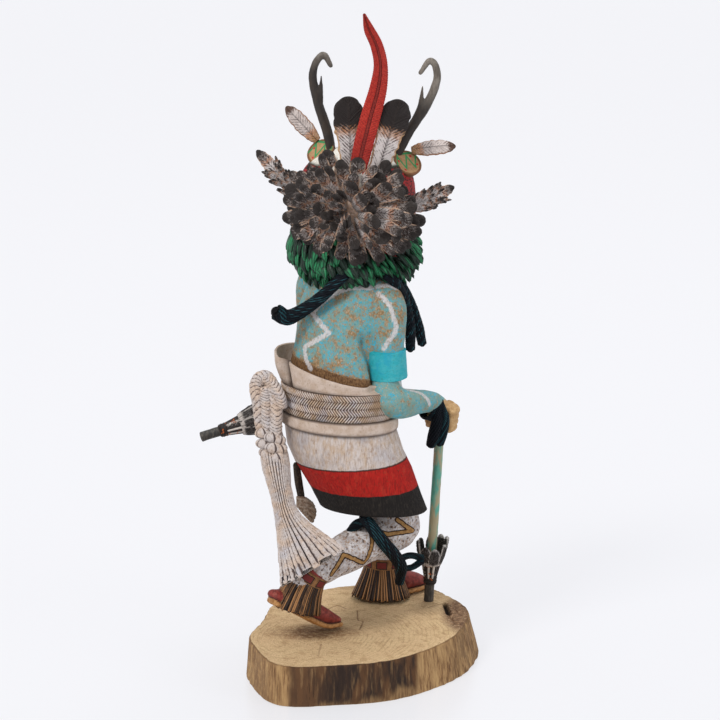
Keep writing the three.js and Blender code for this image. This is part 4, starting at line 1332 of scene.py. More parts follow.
def kilt_mesh():
    """The kilt from its hem to its rolled rim, with fine upright grooves."""
    rows = kilt_rows(KILT_FOLDS)
    columns = 400
    last = len(rows) - 1

    def row_of(v):
        return rows[np.rint(v * last).astype(int)]

    def place(u, v):
        row, turn = row_of(v), turn_of(u, columns)
        z = row[:, 1]
        upright = np.column_stack([np.cos(turn) * 33, np.sin(turn) * 26, z / 16])
        body = rise(z, 95, 99) * rise(z, KILT_TOP, KILT_TOP - 2)
        edges = rise(z, KILT_TOP, KILT_TOP + 2) * 0.5
        grooves = lumps(upright, 0.85, 1) * 0.7 + lumps(upright, 2.2, 2)
        out = sizes().groove * grooves * np.maximum(body, edges)
        out = out + 0.35 * lumps(upright, 9, 3) * body
        flap = 3.6 * lapped(turn, z)
        dent = 5.0 * peak(turn - 3.42, 0.2) * rise(z, 166.5, 170)
        return kilt_ring(row, turn, out + flap - 1.8 * slit(turn, z) - dent)

    def under(u, v, line):
        spots = place(u, v)
        above = spots[:, 2] - line[0] - line[1] * spots[:, 0]
        return np.where(row_of(v)[:, 1] < KILT_TOP - 0.1, above, 99.0)

    # where shade is painted: the seams round the top of the kilt and the belt, and the slit of the lap
    def seam_shade(u, v):
        z = row_of(v)[:, 1]
        seams = peak(z - 141.8, 0.6) + peak(z - 149.5, 0.8) + peak(z - 165.3, 0.9)
        return np.clip(seams + slit(turn_of(u, columns), z), 0, 1)

    carving = Carving()
    carving.close(carving.grid(
        columns, last, place,
        mark=lambda u, v: under(u, v, STRIPE_RED),
        across=lambda u, v: under(u, v, STRIPE_BLACK),
        along=seam_shade,
        tone=lambda u, v: (row_of(v)[:, 1] > KILT_TOP - 0.3) * 1.0,
    ))
    return carving.mesh("kilt")


def braid_mesh():
    """The braided belt: four rows of slanted strokes round the waist."""
    columns, steps = 700, 40
    edges = [0, 0.02, 0.98, 1]
    folds = np.array([(-12.3, 149.5, -1.2), (-12.3, 149.7, -0.6), (-12.4, 164.9, -0.6), (-12.4, 165.1, -1.2)])

    def strokes(u, v):
        place = np.clip((v * 1.04 - 0.02) * 4, 0, 3.999)
        row = place.astype(int)
        inside = place - row
        lean = np.where(row % 2 == 0, 1.0, -1.0)
        number = round(200 / sizes().braid)
        wave = abs(np.sin(math.pi * (u * number + lean * inside * 1.9 + 0.3 * np.sin(u * 44) + 0.2 * row)))
        swell = 0.62 + 0.38 * np.sqrt(np.clip(np.sin(math.pi * np.clip(inside, 0.02, 0.98)), 0, 1))
        return wave**0.7 * swell

    def place(u, v):
        row = np.clip(v * 1.08 - 0.04, 0, 1)
        x, z, out = (np.interp(row, edges, column) for column in folds.T)
        lift = 1.15 * strokes(u, v) * (row > 0) * (row < 1)
        return kilt_ring(np.column_stack([x, z, out, 0 * x, 0 * x]), turn_of(u, columns), lift)

    carving = Carving()
    made = carving.grid(columns, steps, place, mark=lambda u, v: 1 - strokes(u, v))
    bmesh.ops.remove_doubles(carving.bm, verts=made, dist=MERGE)
    return carving.mesh("braid")


def leggings_mesh():
    """Both legs from the kilt to the ankles as one skin."""
    carving = Carving()
    carving.limb(LEFT_LEG[0], 50, UP, 64)
    carving.limb(LEFT_LEG[1], 30, RIGHTWARDS, 64, 0.3)
    carving.limb(RIGHT_LEG, 60, RIGHTWARDS, 64, 0.3)
    skin = fused(carving, 1.04, 6)
    worn(skin, 0.3, 0.12, 7)
    valued(skin, mark=painted_line(skin, LEG_ZIGZAG))
    return skin


def moccasins_mesh():
    """Each moccasin: a thick sole, an upper and a cuff as one skin."""
    carving = Carving()
    for side, sole in SOLES.items():
        sole = [np.array(row, float) for row in sole]
        sole[0] = sole[0] * 0.72 + sole[1] * 0.28
        sole[-1] = sole[-1] * 0.85 + sole[-2] * 0.15
        carving.limb([(*row, 1.7) for row in sole], 40, FOOT_LEFT, 40, 1.6, 7, square=0.35)
        uppers = zip(sole, (4.2, 5.5, 5.2, 2.4), (3.4, 6.4, 5.2, 1.9))
        upper = [(x, y, z + lift, half - 0.9, deep) for (x, y, z, half), lift, deep in uppers]
        carving.limb(upper, 40, FOOT_LEFT, 48, 0.8, 7)
        carving.limb(CUFFS[side], 20, FOOT_LEFT, 48, 0.2)
    skin = fused(carving, 0.75, 3)
    spots = spots_of(skin)
    sole_part, seam = np.zeros(len(spots)), np.zeros(len(spots))
    for sole in SOLES.values():
        centres, wide, deep = limb([(*row, 2.4) for row in sole], 60, FOOT_LEFT)
        up = unit(deep) * np.where((unit(deep) @ UP) > 0, 1.0, -1.0)[:, None]
        near = np.argmin(((spots[:, None] - centres[None, ::3]) ** 2).sum(axis=2), axis=1) * 3
        over = ((spots - centres[near]) * up[near]).sum(axis=1)
        close = lengths(spots - centres[near]) < 13
        sole_part = np.maximum(sole_part, close * (over < 1.7))
        seam = np.maximum(seam, close * peak(over - 1.9, 0.4))
    pushed(skin, -0.5 * seam + 0.18 * lumps(spots, 3.4, 9))
    valued(skin, tone=sole_part, mark=seam)
    return skin


def ankle_band_mesh():
    """A painted band at the top of each fringe."""
    carving = Carving()
    for foot, top, half in ANKLE_BANDS:
        carving.limb([(*foot, half), (*top, half + 0.1)], 12, RIGHTWARDS, 64, 0.1, 4)
    return carving.mesh("ankle_bands")


def fringe_mesh():
    """Two layers of thin strands over a dark cone at each ankle."""
    chance = random.Random(41)
    carving = Carving()
    for side, stations in FRINGES.items():
        centres, wide, deep = limb(stations, 24, FRINGE_ACROSS[side])
        inner = np.linspace(0.8, 0.86, 24)[:, None]
        carving.tube((centres, wide * inner, deep * inner), 40, tone=0.0)
        for number, grown in ((70, 0.92), (64, 1.0)):
            for k in range(number):
                turn = TAU * (k + chance.uniform(-0.25, 0.25)) / number
                stop = chance.uniform(0.93, 1.0)
                rows = 9
                spots = np.linspace(0, stop, rows) * 23
                middle, a, b = (between(axis, spots) for axis in (centres, wide, deep))
                drift = turn + np.linspace(0, chance.uniform(-0.05, 0.05), rows)
                line = arc(middle, a, b, drift, grown)
                girth = np.linspace(0.5, 0.74, rows)[:, None] * chance.uniform(0.8, 1.1)
                carving.tube(
                    strand_of(line, middle, girth, 0.62, 0.8, 3), 6,
                    tone=chance.choice((0.1, 0.3, 0.5, 0.8, 1.0)), along=lambda u, v: v,
                    across=lambda u, v: abs(np.sin(u * TAU)),
                )
    return carving.mesh("fringes")


def forearm_mesh(side):
    """A forearm and a fist with fingers round the cane."""
    carving = Carving()
    carving.limb(FOREARMS[side], 40, UP, 40)
    top, foot = (np.array(p, float) for p in CANES[side])
    axis = unit(top - foot)
    grip, ahead = {
        "right": (np.array([47.4, 30.6, 139.4]), unit((0.86, 0.5, 0))),
        "left": (np.array([-6.5, 66.7, 146.2]), unit((0.5, 0.85, 0.1))),
    }[side]
    out = unit(ahead - axis * (ahead @ axis))
    across = np.cross(axis, out)
    carving.ball(grip - out * 2.4, (8.6, 7.2, 6.6), 24, axes=(out, axis))
    for k in range(4):
        level = grip + axis * (5.4 - 3.5 * k)
        line = arc(level, out, across, np.linspace(-1.5, 2.5, 16), 8.2 - 0.3 * k)
        away = unit(line - level)
        fat = np.full((16, 1), 2.1)
        carving.tube(domed((line, away * fat, axis * fat * 0.95), 0.9, 4), 12)
    line = arc(grip + axis * 7.2, out, across, np.linspace(-2.2, 0.35, 10), 5.6)
    away = unit(line - grip - axis * 7.2)
    carving.tube(domed((line, away * 2.3, axis * np.full((10, 1), 2.2)), 0.9, 4), 12)
    skin = fused(carving, 0.72, 2)
    worn(skin, 0.2, 0.07, 13)
    spots = spots_of(skin)
    wrist = np.array(FOREARMS[side][-1][:3]) - out * 3
    hand = rise((spots - wrist) @ out, -3.0, -1.6)
    if side == "right":
        hand = np.maximum(hand * (spots[:, 2] < 152), rise(spots[:, 2], 146, 144.6) * (spots[:, 0] > 35))
        line = painted_line(skin, FOREARM_STREAK)
    else:
        line = np.full(len(spots), 9.0)
    valued(skin, mark=line, tone=np.full(len(spots), -0.2), across=hand)
    return skin


def cane_mesh(side):
    """A straight rod, uneven from the knife, dark towards its foot."""
    top, foot = CANES[side]
    carving = Carving()
    carving.limb(
        [(*foot, 2.9), (*top, 2.6)], 140, BODY_FRONT, 24, 0.25, 4,
        push=lambda u, v: 0.14 * lumps(np.column_stack([u * 6, v * 60, 0 * u]), 1.5, 2),
        mark=lambda u, v: rise(v, 0.2, 0.17) if side == "right" else rise(v, 0.3, 0.27),
    )
    return carving.mesh("cane")


def cane_feathers_mesh(side):
    """Feathers bound round the foot of a cane, with their bare quills in a wrapping of thread."""
    top, foot = (np.array(p, float) for p in CANES[side])
    axis = unit(top - foot)
    out = unit(np.cross(axis, BODY_FRONT))
    other = np.cross(axis, out)
    low = foot + axis * 11
    wrap, vanes = Carving(), Carving()

    def away(turn):
        return out * math.cos(turn) + other * math.sin(turn)

    def stem(*steps):
        return [(*(low + axis * way), half) for way, half in steps]

    wrap.limb(
        stem((0, 3.2), (1.2, 3.8), (4.6, 3.9), (5.6, 3.4)), 60, BODY_FRONT, 32, 0.2, 3, tone=0.25,
        push=lambda u, v: 0.3 * abs(np.sin(v * math.pi * 6)) - 0.1,
        # mark: where the painted shade goes between the turns of thread
        mark=lambda u, v: 1 - abs(np.sin(v * math.pi * 6)),
    )
    chance = random.Random(7)
    for k in range(20):
        way = away(TAU * k / 20)
        line = np.linspace(low + axis * 4.6 + way * 3.3, low + axis * chance.uniform(14, 17) + way * 5.4, 8)
        fat = np.full((8, 1), 0.78)
        quill = domed((line, np.cross(axis, way) * fat, way * fat), 0.8, 3)
        wrap.tube(quill, 6, tone=chance.random(), mark=0.0)
    # the core among the quills, marked for painted shade
    wrap.tube(limb(stem((4, 2.9), (10, 3.9), (16, 4.8)), 12, BODY_FRONT), 24, tone=0.3, mark=1.0)
    for k in range(8):
        way = away(TAU * (k + chance.uniform(-0.15, 0.15)) / 8)
        start = low + axis * 13 + way * 4.8
        stop = low + axis * chance.uniform(25, 31) + way * chance.uniform(7.0, 8.8)
        vanes.feather(
            start, stop, way, (0.72, 0.95, 1.0, 0.9, 0.66), chance.uniform(5.4, 7), 1.8, bow=0.8, columns=12,
            rows=20, barbs=0.14, count=14, shaft=0.45, tone=chance.random(), ragged=0.12, seed=k,
        )
    return wrap.mesh("wrap"), vanes.mesh("vanes")


def mask_mesh():
    """The case mask: a drum under a domed crown, a snout and two round eyes."""
    carving = Carving()
    carving.tube(rings(MASK, 70, HEAD_LEFT), 96, square=0.2)

    def ahead(way, side, z):
        return np.array([-2, 28, z]) + HEAD_FRONT * way + HEAD_LEFT * side

    snout = [(*ahead(18, 0, 256), 11, 9), (*ahead(32, 0, 254.4), 10, 8.2), (*ahead(44, 0, 252), 8.4, 6.9)]
    carving.limb(snout, 20, HEAD_LEFT, 48, 0.3, square=0.3)
    for side in (-12, 12):
        carving.ball(ahead(26, side, 270), (3.6, 3.6, 3.6), 20)
    skin = fused(carving, 1.16, 4)
    worn(skin, 0.28, 0.1, 17)
    spots = spots_of(skin)
    local = spots - np.array([-2, 28, 0])
    front, left = local @ HEAD_FRONT, local @ HEAD_LEFT
    angle = abs(np.degrees(np.arctan2(left, front)))
    z = spots[:, 2]
    wobble = 1.2 * lumps(spots, 7, 4)
    edge = 289.5 + wobble
    panel = (angle > HAIR_FRONT + wobble) & (z < edge) & (angle < HAIR_BACK)
    face = (angle <= HAIR_FRONT + wobble) & (z < 283 + wobble)
    lines = [
        peak(z - edge, 0.7) * (angle > HAIR_FRONT) * (angle < HAIR_BACK),
        peak(angle - HAIR_FRONT - wobble, 1.6) * (z < 286),
        peak(angle - HAIR_BACK, 1.4) * (z < 286),
        peak(lengths(spots - ahead(46.5, 0, 252)) - 4.4, 0.7),
    ]
    for side in (-12, 12):
        apart = lengths(spots - ahead(29, side, 270))
        lines.append(peak(apart - 4.6, 0.8) + (apart < 1.9))
    valued(skin, tone=panel * 1.0, along=face * 1.0, mark=np.clip(np.max(lines, axis=0), 0, 1))
    return skin


def collar_mesh():
    """Pointed, ridged leaves laid in rows over a dark bowl."""
    chance = random.Random(5)
    carving = Carving()
    bowl = rings(COLLAR, 40, HEAD_LEFT)
    carving.tube((bowl[0], bowl[1] * 0.9, bowl[2] * 0.9), 64, tone=0.0)
    for level, number, length in LEAF_ROWS:
        for k in range(number):
            turn = TAU * (k + level * 7 + chance.uniform(-0.3, 0.3)) / number
            place = np.clip(level + chance.uniform(-0.05, 0.05), 0, 1) * 39
            centre, wide, deep = (between(axis, place) for axis in bowl)
            flat = wide * math.cos(turn) + deep * math.sin(turn)
            out = unit(flat)
            side = np.cross(UP, out)
            root = centre + flat * 0.93
            slope = 0.3 - 0.6 * level
            drift = RIGHTWARDS * (0.75 * rise(root[0], -32, 12) * (out[1] < 0.2))
            ahead = unit(-UP + out * slope + side * chance.uniform(-0.35, 0.35) + drift)
            needles = chance.random() < rise(root[0], -6, 14) * 0.9
            tip = root + ahead * length * chance.uniform(0.85, 1.15)
            face = unit(out + UP * slope)
            width = chance.uniform(2.2, 3.0) if needles else chance.uniform(4.2, 5.6)
            carving.feather(root, tip, face, LEAF, width, 2.2, bow=1.4, curl=chance.uniform(-0.3, 1.6),
                            columns=6, rows=7, shaft=0.35, tone=chance.random())
            if level > 0.6 and out[1] < -0.2:
                start = np.array([root[0], root[1] - 1.5, 237.5 - chance.uniform(0, 2.5)])
                down = unit(np.array([chance.uniform(0, 0.9), -0.42, -1.0]))
                stop = start + down * chance.uniform(8.5, 10.5)
                carving.feather(start, stop, (0, -1, 0.5), LEAF, width, 2.2, bow=1.6, columns=6, rows=7,
                                shaft=0.35, tone=chance.random())
    return carving.mesh("collar")


def bunch_mesh():
    """Many small carved feathers that fan out from one root on the back of the mask."""
    chance = random.Random(12)
    carving = Carving()
    back = -HEAD_FRONT
    carving.ball(BUNCH_ROOT, (24, 19, 14), 24, axes=(HEAD_LEFT, UP), tone=0.2, across=0.9, along=0.3)
    for number, tilt, reach, width in BUNCH_RINGS:
        for k in range(number):
            turn = TAU * (k + tilt / 19 + chance.uniform(-0.22, 0.22)) / number
            lean = math.radians(tilt + chance.uniform(-8, 8))
            flat = HEAD_LEFT * (math.cos(turn) * 1.04) + UP * (math.sin(turn) * 0.84)
            out = flat * math.cos(lean) + back * math.sin(lean)
            side = unit(np.cross(out, back))
            face = unit(np.cross(side, out))
            if face @ back < 0:
                face = -face
            root = BUNCH_ROOT + out * 9
            upper = 0.12 * max(0.0, math.cos(turn - 0.9)) ** 6
            length = reach * (1.0 + 0.16 * max(0.0, -math.cos(turn)) ** 2 + upper)
            length *= 1.0 + 0.1 * max(0.0, math.cos(turn - 4.0)) ** 4
            tip = BUNCH_ROOT + out * length * chance.uniform(0.88, 1.04) + side * chance.uniform(-4, 4)
            twist = unit(face + side * chance.uniform(-0.7, 0.7))
            carving.feather(
                root, tip, twist, (0.4, 0.62, 0.9, 1.0, 0.92), width * chance.uniform(0.75, 1.15), 1.6,
                bow=1.5, curl=chance.uniform(-2.6, 0.2), columns=8, rows=14, barbs=0.16, count=13, shaft=0.34,
                sway=chance.uniform(-1, 1), tone=chance.random(), ragged=0.1, seed=k,
            )
    return carving.mesh("bunch")


def horn_mesh(side):
    """A hooked horn with one prong as one skin."""
    carving = Carving()
    for stations in HORNS[side]:
        carving.limb(stations, 60, HEAD_FRONT, 24)
    skin = fused(carving, 0.55, 3)
    worn(skin, 0.12, 0.06, 21, 3.0)
    return skin


def red_feather_mesh():
    """The tall red feather: a curved lens with a double groove for its shaft and slanting barbs."""
    carving = Carving()

    def push(u, v):
        side = np.cos(u * TAU)
        middle = -0.42 * peak(abs(side) - 0.14, 0.06)
        barbs = 0.13 * np.sin(TAU * (v * 86 - abs(side) * 2.2)) * rise(abs(side), 0.18, 0.3)
        return (middle + barbs) * rise(v, 0.995, 0.97) * rise(v, 0.0, 0.03)

    carving.limb(
        [(*row, min(1.5, row[3])) for row in RED_PLUME], 150, RIGHTWARDS, 80, 1.0, 4,
        push=push, across=lambda u, v: np.cos(u * TAU), along=lambda u, v: v,
    )
    return carving.mesh("red")


def plume_mesh(root, tip, face, breadths, width, thick, bow, count, seed, ragged):
    """One larger feather."""
    carving = Carving()
    carving.feather(root, tip, face, breadths, width, thick, bow=bow, columns=34, rows=88, barbs=0.16,
                    count=count, shaft=0.45, tone=0.5, ragged=ragged, seed=seed)
    return carving.mesh("plume")


def ragged_mesh(root, tip, width):
    """A ruffled feather: a slender tip that comes out of a tuft of smaller vanes."""
    chance = random.Random(9)
    carving = Carving()
    ahead = tip - root
    side = unit(np.cross(ahead, (0, -1, 0)))
    carving.feather(
        root + ahead * 0.3, tip, (0, -1, 0.2), (0.4, 0.8, 1, 1, 0.85, 0.5), width * 0.66, 2.0, bow=0.8,
        columns=22, rows=52, barbs=0.16, count=18, shaft=0.4, tone=0.55, ragged=0.16, seed=3,
    )
    for k in range(60):
        share = chance.uniform(0, 0.66)
        lean = chance.choice((-1, 1)) * chance.uniform(0.1, 0.65)
        start = root + ahead * share * 0.7 + side * lean * 1.5
        way = unit(unit(ahead) + side * lean + np.array([0, chance.uniform(-0.25, 0.1), 0]))
        stop = start + way * chance.uniform(8, 12)
        face = unit((chance.uniform(-0.6, 0.6), -1, chance.uniform(-0.3, 0.6)))
        carving.feather(
            start, stop, face, (0.4, 0.9, 1, 0.7, 0.35), chance.uniform(2.4, 3.8), 1.2, bow=0.6,
            curl=chance.uniform(-1, 1), columns=7, rows=10, barbs=0.14, count=6, shaft=0.25,
            tone=chance.random(), ragged=0.25, seed=k,
        )
    return carving.mesh("ragged")


def blossom_mesh(face, lean):
    """A squash-blossom ear: a fluted cone with a painted disc for its mouth."""
    face, lean = np.array(face, float), unit(lean)
    side = unit(np.cross(lean, UP))
    over = np.cross(side, lean)
    run = np.linspace(0, len(BLOSSOM_PROFILE) - 1, 60)
    way, half = between(np.array(BLOSSOM_PROFILE), run).T[..., None]
    centres = face + lean * way
    carving = Carving()

    def disc(u, v):
        reach = np.interp(v, np.linspace(0, 1, 60), half[:, 0])
        inside = np.interp(v, np.linspace(0, 1, 60), run) > 5.5
        turn = u * TAU
        return reach * np.cos(turn), reach * np.sin(turn), inside, reach

    def zigzag(u, v):
        x, y, inside, _ = disc(u, v)
        fold = abs(((x * 0.34 + 0.3) % 2) - 1) * 8.4 - 3.6
        band = np.minimum(abs(y - fold) * 0.42, abs(y - 6.2))
        return np.where(inside, band, 9.0)

    def dots(u, v):
        x, y, inside, _ = disc(u, v)
        places = (-3.4, 4.2), (3.2, -4.4), (5.2, 1.8), (-5.4, -1.6)
        return np.where(inside, np.min([np.hypot(x - a, y - b) for a, b in places], axis=0), 9.0)

    carving.tube((centres, side * half, over * half), 72, mark=zigzag, across=dots,
                 tone=lambda u, v: np.clip((disc(u, v)[3] > 7.0) * 1.0 + ~disc(u, v)[2] * 1.0, 0, 1))
    return carving.mesh("blossom")


def yarn_mesh(kind):
    """A skein of yarn, wound from strands."""
    carving = Carving()
    strand = sizes().yarn
    if kind == "neck":
        for path, winding in zip(NECK_SKEIN, (26, 16, 12)):
            carving.bundle(path, UP if winding == 26 else RIGHTWARDS, 15, winding, strand * 1.1, 56, winding)
    elif kind == "knee":
        carving.bundle(KNEE_YARN[0], RIGHTWARDS, 12, 30, strand, 26, 4)
        carving.bundle(KNEE_YARN[1], RIGHTWARDS, 17, 60, strand, 52, 5)
        for path in KNEE_YARN[2:]:
            carving.bundle(path, UP, 8, 34, strand, 26, 6)
    else:
        start, stop = (np.array(end) for end in WRIST_WINDING)
        axis = unit(np.array([5.5, 3.5, -2.0]))
        a = unit(np.cross(axis, UP))
        for k in range(6):
            spot = start + (stop - start) * (k - 0.2) / 5
            line = arc(spot, a, np.cross(axis, a), np.linspace(0, TAU, 49), 6.7 + 0.1 * k)
            loop = domed((line, unit(line - spot) * 0.8, axis * np.full((49, 1), 0.8)))
            carving.tube(loop, 8, tone=(0.1, 0.7, 0.3)[k % 3])
        for path, seed in zip(WRIST_LOOPS, (7, 8)):
            carving.bundle(path, RIGHTWARDS, 13, 44, strand, 42, seed)
    return carving.mesh("yarn")


def roped(u, v, turns):
    """Chevron strokes of a braided rope, from 0 in its grooves to 1."""
    lean = abs(((u * 2) % 1) - 0.5) * 2
    return np.sqrt(abs(np.sin(math.pi * (v * turns + lean * 1.2))))


def sash_mesh():
    """The rain sash: a braided head, a wrapped knot, and cords that fan out behind."""
    chance = random.Random(3)
    carving = Carving()
    number = 34

    def corded(u, v):
        return np.sqrt(abs(np.sin(math.pi * u * number)))

    def uneven(u, v):
        spots = np.column_stack([u * number * 1.3, v * 60, np.full_like(u, 4)])
        return 0.16 * np.sin(v * 260 + u * TAU * number) + 0.2 * lumps(spots, 3.0, 4)

    centres, wide, deep = limb(SASH_CORDS, 120, unit((0.93, -0.05, 0.3)))
    tail = [chance.uniform(-1.8, 1.4) for _ in range(number)]

    def ends(u, v):
        pick = np.array(tail)[np.floor(np.minimum(u, 1 - u) * number + 1e-6).astype(int) % number]
        return pick * rise(v, 0.86, 1.0)

    def cords(u, v):
        u = u % 1.0
        row = np.rint(v * (len(centres) - 1)).astype(int)
        turn = u * TAU + 0.1 * np.sin(u * TAU * 3 + v * 3)
        flat = wide[row] * np.cos(turn)[:, None] + deep[row] * np.sin(turn)[:, None]
        flat = flat - deep[row] * (np.sin(turn) * rise(v, 0.95, 1.0) ** 2)[:, None]
        girth = lengths(flat)[:, None]
        push = (corded(u, v) * 1.7 - 1.2 + uneven(u, v)) * rise(v, 1.0, 0.985)
        spots = centres[row] + flat + flat / np.maximum(girth, 0.1) * push[:, None]
        return spots + unit(np.gradient(centres, axis=0))[row] * ends(u, v)[:, None]

    made = carving.grid(number * 9, len(centres) - 1, cords,
                        mark=lambda u, v: (1 - corded(u % 1.0, v)) ** 1.2 * rise(v, 1.0, 0.99),
                        tone=lambda u, v: 0.5 + 0.5 * np.sin(np.floor(u * number) * 2.4))
    carving.close(made)
    cord = sizes().cord
    for k in range(24):
        share = (k + chance.uniform(0.1, 0.9)) / 24
        angle = -math.pi * share
        rows = np.arange(chance.randint(24, 48), chance.randint(106, 119), 2)
        drift = angle + np.linspace(0, chance.uniform(-0.12, 0.12), len(rows))
        line = centres[rows] + wide[rows] * np.cos(drift)[:, None]
        line = line + deep[rows] * np.sin(drift)[:, None] * 1.02
        fat = cord * chance.uniform(0.75, 1.0)
        seed = chance.random() * 9
        carving.tube(strand_of(line, centres[rows], fat, 0.8, 0.8, 3), 8, tone=chance.random(), mark=0.1,
                     push=lambda u, v: 0.12 * np.sin(v * 190 + u * TAU + seed))
    for path, fat, turns in SASH_ROPES:
        line = smooth(path, 104)
        ahead = unit(np.gradient(line, axis=0))
        out = unit(np.cross(ahead, (0.3, -1, 0.1)))
        carving.tube(
            domed((line, out * fat, np.cross(ahead, out) * fat * 0.8), 0.8, 6), 22, tone=0.2,
            push=lambda u, v: 0.6 * roped(u, v, turns) - 0.35
            + 0.22 * lumps(np.column_stack([np.cos(u * TAU) * fat, v * 60, np.sin(u * TAU) * fat]), 2.4),
            mark=lambda u, v: (1 - roped(u, v, turns)) ** 1.5,
        )
    for (x, y, z), (a, b), turn in HUSK_KNOT:
        sideways = np.array([math.cos(turn), 0.0, math.sin(turn)])
        carving.ball((x, y, z), (a, b, b * 0.9), 26, axes=(sideways, np.cross(sideways, (0, 1, 0))), tone=0.4,
                     push=lambda u, v: 0.35 * abs(np.sin(u * TAU * 2.5)) - 0.1,
                     mark=lambda u, v: (1 - abs(np.sin(u * TAU * 2.5))) ** 3)
    return carving.mesh("sash")


def tassel_mesh():
    """The short tassel between the sash and the kilt."""
    carving = Carving()
    carving.limb([(-36.5, 12, 116, 1.8), (-35.4, 13, 106, 2.1), (-34, 14, 97, 1.9)], 40, BODY_FRONT, 24,
                 mark=1.0, push=lambda u, v: 0.3 * abs(np.sin(u * TAU * 3)))
    for k in range(7):
        share = k / 6
        stop = np.array([-28 + 1.6 * math.sin(share * 3), 13 + 0.8 * (k % 2), 92.4 - 10 * share])
        root = np.array([-35.8, 13, 96.4 - 5 * share])
        middle = (root + stop) / 2 + np.array([0, -1.2, 1.4 - share])
        carving.limb([(*root, 1.0), (*middle, 1.35), (*stop, 1.4)], 30, UP, 14, tone=share,
                     push=lambda u, v: 0.1 * np.sin(v * 60 + k))
    return carving.mesh("tassel")


# Light and camera, in metres and watts
FLOOR_GLOW = 0.65
SKY_LIGHT = 0.68
SKY_SEEN = 0.925
LENS = 143
LIT_PLACE = Vector((0, 0, 0.16))
LAMPS = (
    ("key", (-0.9, -1.0, 1.7), 0.5, 22, (1.0, 0.985, 0.96)),
    ("fill", (1.5, -0.9, 0.9), 0.7, 6, (0.95, 0.97, 1.0)),
    ("top", (0.3, 0.7, 1.8), 0.9, 11, (1.0, 1.0, 1.0)),
)


# Operators
class DOLL_OT_stage(bpy.types.Operator):
    """Pale floor, soft lights and the camera of the photograph"""

    bl_idname = "doll.stage"
    bl_label = "Stage"

    def execute(self, context):
        scene = context.scene
        bm = bmesh.new()
        bmesh.ops.create_grid(bm, x_segments=2, y_segments=2, size=6)
        mesh = bpy.data.meshes.new("studio_floor")
        bm.to_mesh(mesh)
        bm.free()
        paint = Paint("studio_floor", sheen=0.25)
        glow = paint.surface.inputs
        glow["Emission Color"].default_value = (0.96, 0.965, 1.0, 1)
        glow["Emission Strength"].default_value = FLOOR_GLOW
        mesh.materials.append(paint.done(tint(120, 120, 122), 0.3))
        floor = bpy.data.objects.new("studio_floor", mesh)
        scene.collection.objects.link(floor)
        world = bpy.data.worlds.new("studio")
        world.use_nodes = True
        sky = world.node_tree
        seen = sky.nodes.new("ShaderNodeLightPath")
        strength = sky.nodes.new("ShaderNodeMapRange")
        strength.inputs["To Min"].default_value = SKY_LIGHT
        strength.inputs["To Max"].default_value = SKY_SEEN
        sky.links.new(seen.outputs["Is Camera Ray"], strength.inputs["Value"])
        sky.links.new(strength.outputs[0], sky.nodes["Background"].inputs[1])
        sky.nodes["Background"].inputs[0].default_value = (0.965, 0.965, 1.0, 1)
        scene.world = world
        scene.view_settings.view_transform = "Standard"
        for name, spot, size, power, colour in LAMPS:
            light = bpy.data.lights.new(name, "AREA")
            light.shape, light.size, light.energy, light.color = "SQUARE", size, power, colour
            lamp = bpy.data.objects.new(name, light)
            lamp.location = spot
            lamp.rotation_euler = (LIT_PLACE - Vector(spot)).to_track_quat("-Z", "Y").to_euler()
            scene.collection.objects.link(lamp)
        lens = bpy.data.cameras.new("camera")
        lens.lens, lens.sensor_width = LENS, 36
        lens.clip_start, lens.clip_end = 0.05, 50
        camera = bpy.data.objects.new("camera", lens)
        place = sizes()
        camera.location = (0, -place.camera * MM, place.camera_height * MM)
        camera.rotation_euler = (math.radians(90 - place.camera_pitch), 0, 0)
        scene.collection.objects.link(camera)
        scene.camera = camera
        return {"FINISHED"}


class DOLL_OT_slab(bpy.types.Operator):
    """Cottonwood slab with a sawn top and a split side"""

    bl_idname = "doll.slab"
    bl_label = "Slab"

    def execute(self, context):
        deliver(slab_mesh(), "slab", slab_wood(), ["base_slab"], 35)
        return {"FINISHED"}


class DOLL_OT_body(bpy.types.Operator):
    """Trunk, arm bands, kilt, belt, leggings, moccasins and fringes"""

    bl_idname = "doll.body"
    bl_label = "Body"

    def execute(self, context):
        for mesh, name, paint, crease in (
            (trunk_mesh(), "trunk", body_paint(), 60),
            (arm_bands_mesh(), "arm_bands", band_paint(), 50),
            (kilt_mesh(), "kilt", kilt_paint(), 40),
            (braid_mesh(), "belt_braid", braid_paint(), 60),
            (leggings_mesh(), "leggings", legging_paint(), 60),
            (moccasins_mesh(), "moccasins", moccasin_paint(), 60),
            (ankle_band_mesh(), "ankle_bands", ankle_band_paint(), 50),
            (fringe_mesh(), "fringes", fringe_paint(), 60),
        ):
            deliver(mesh, name, paint, ["figure"], crease)
        return {"FINISHED"}


class DOLL_OT_arms(bpy.types.Operator):
    """Forearms and fists, canes and the feathers bound to them"""

    bl_idname = "doll.arms"
    bl_label = "Arms and canes"

    def execute(self, context):
        skin, rod, thread = bpy.data.materials["painted_skin"], cane_paint(), thread_paint()
        vane = feather_paint(
            "cane_vane", tint(214, 204, 196), tint(38, 31, 28), tint(214, 208, 202), 0.14, 0.95, count=12,
            streak=0.3, edge=tint(190, 182, 176),
        )
        for side in ("right", "left"):
            deliver(forearm_mesh(side), f"arm_{side}", skin, [f"forearm_{side}"], 60)
            deliver(cane_mesh(side), f"rod_{side}", rod, [f"cane_{side}"], 50)
            wrap, vanes = cane_feathers_mesh(side)
            deliver(wrap, f"cane_wrap_{side}", thread, [f"cane_feathers_{side}"], 60)
            deliver(vanes, f"cane_vanes_{side}", vane, [f"cane_feathers_{side}"], 60)
        return {"FINISHED"}


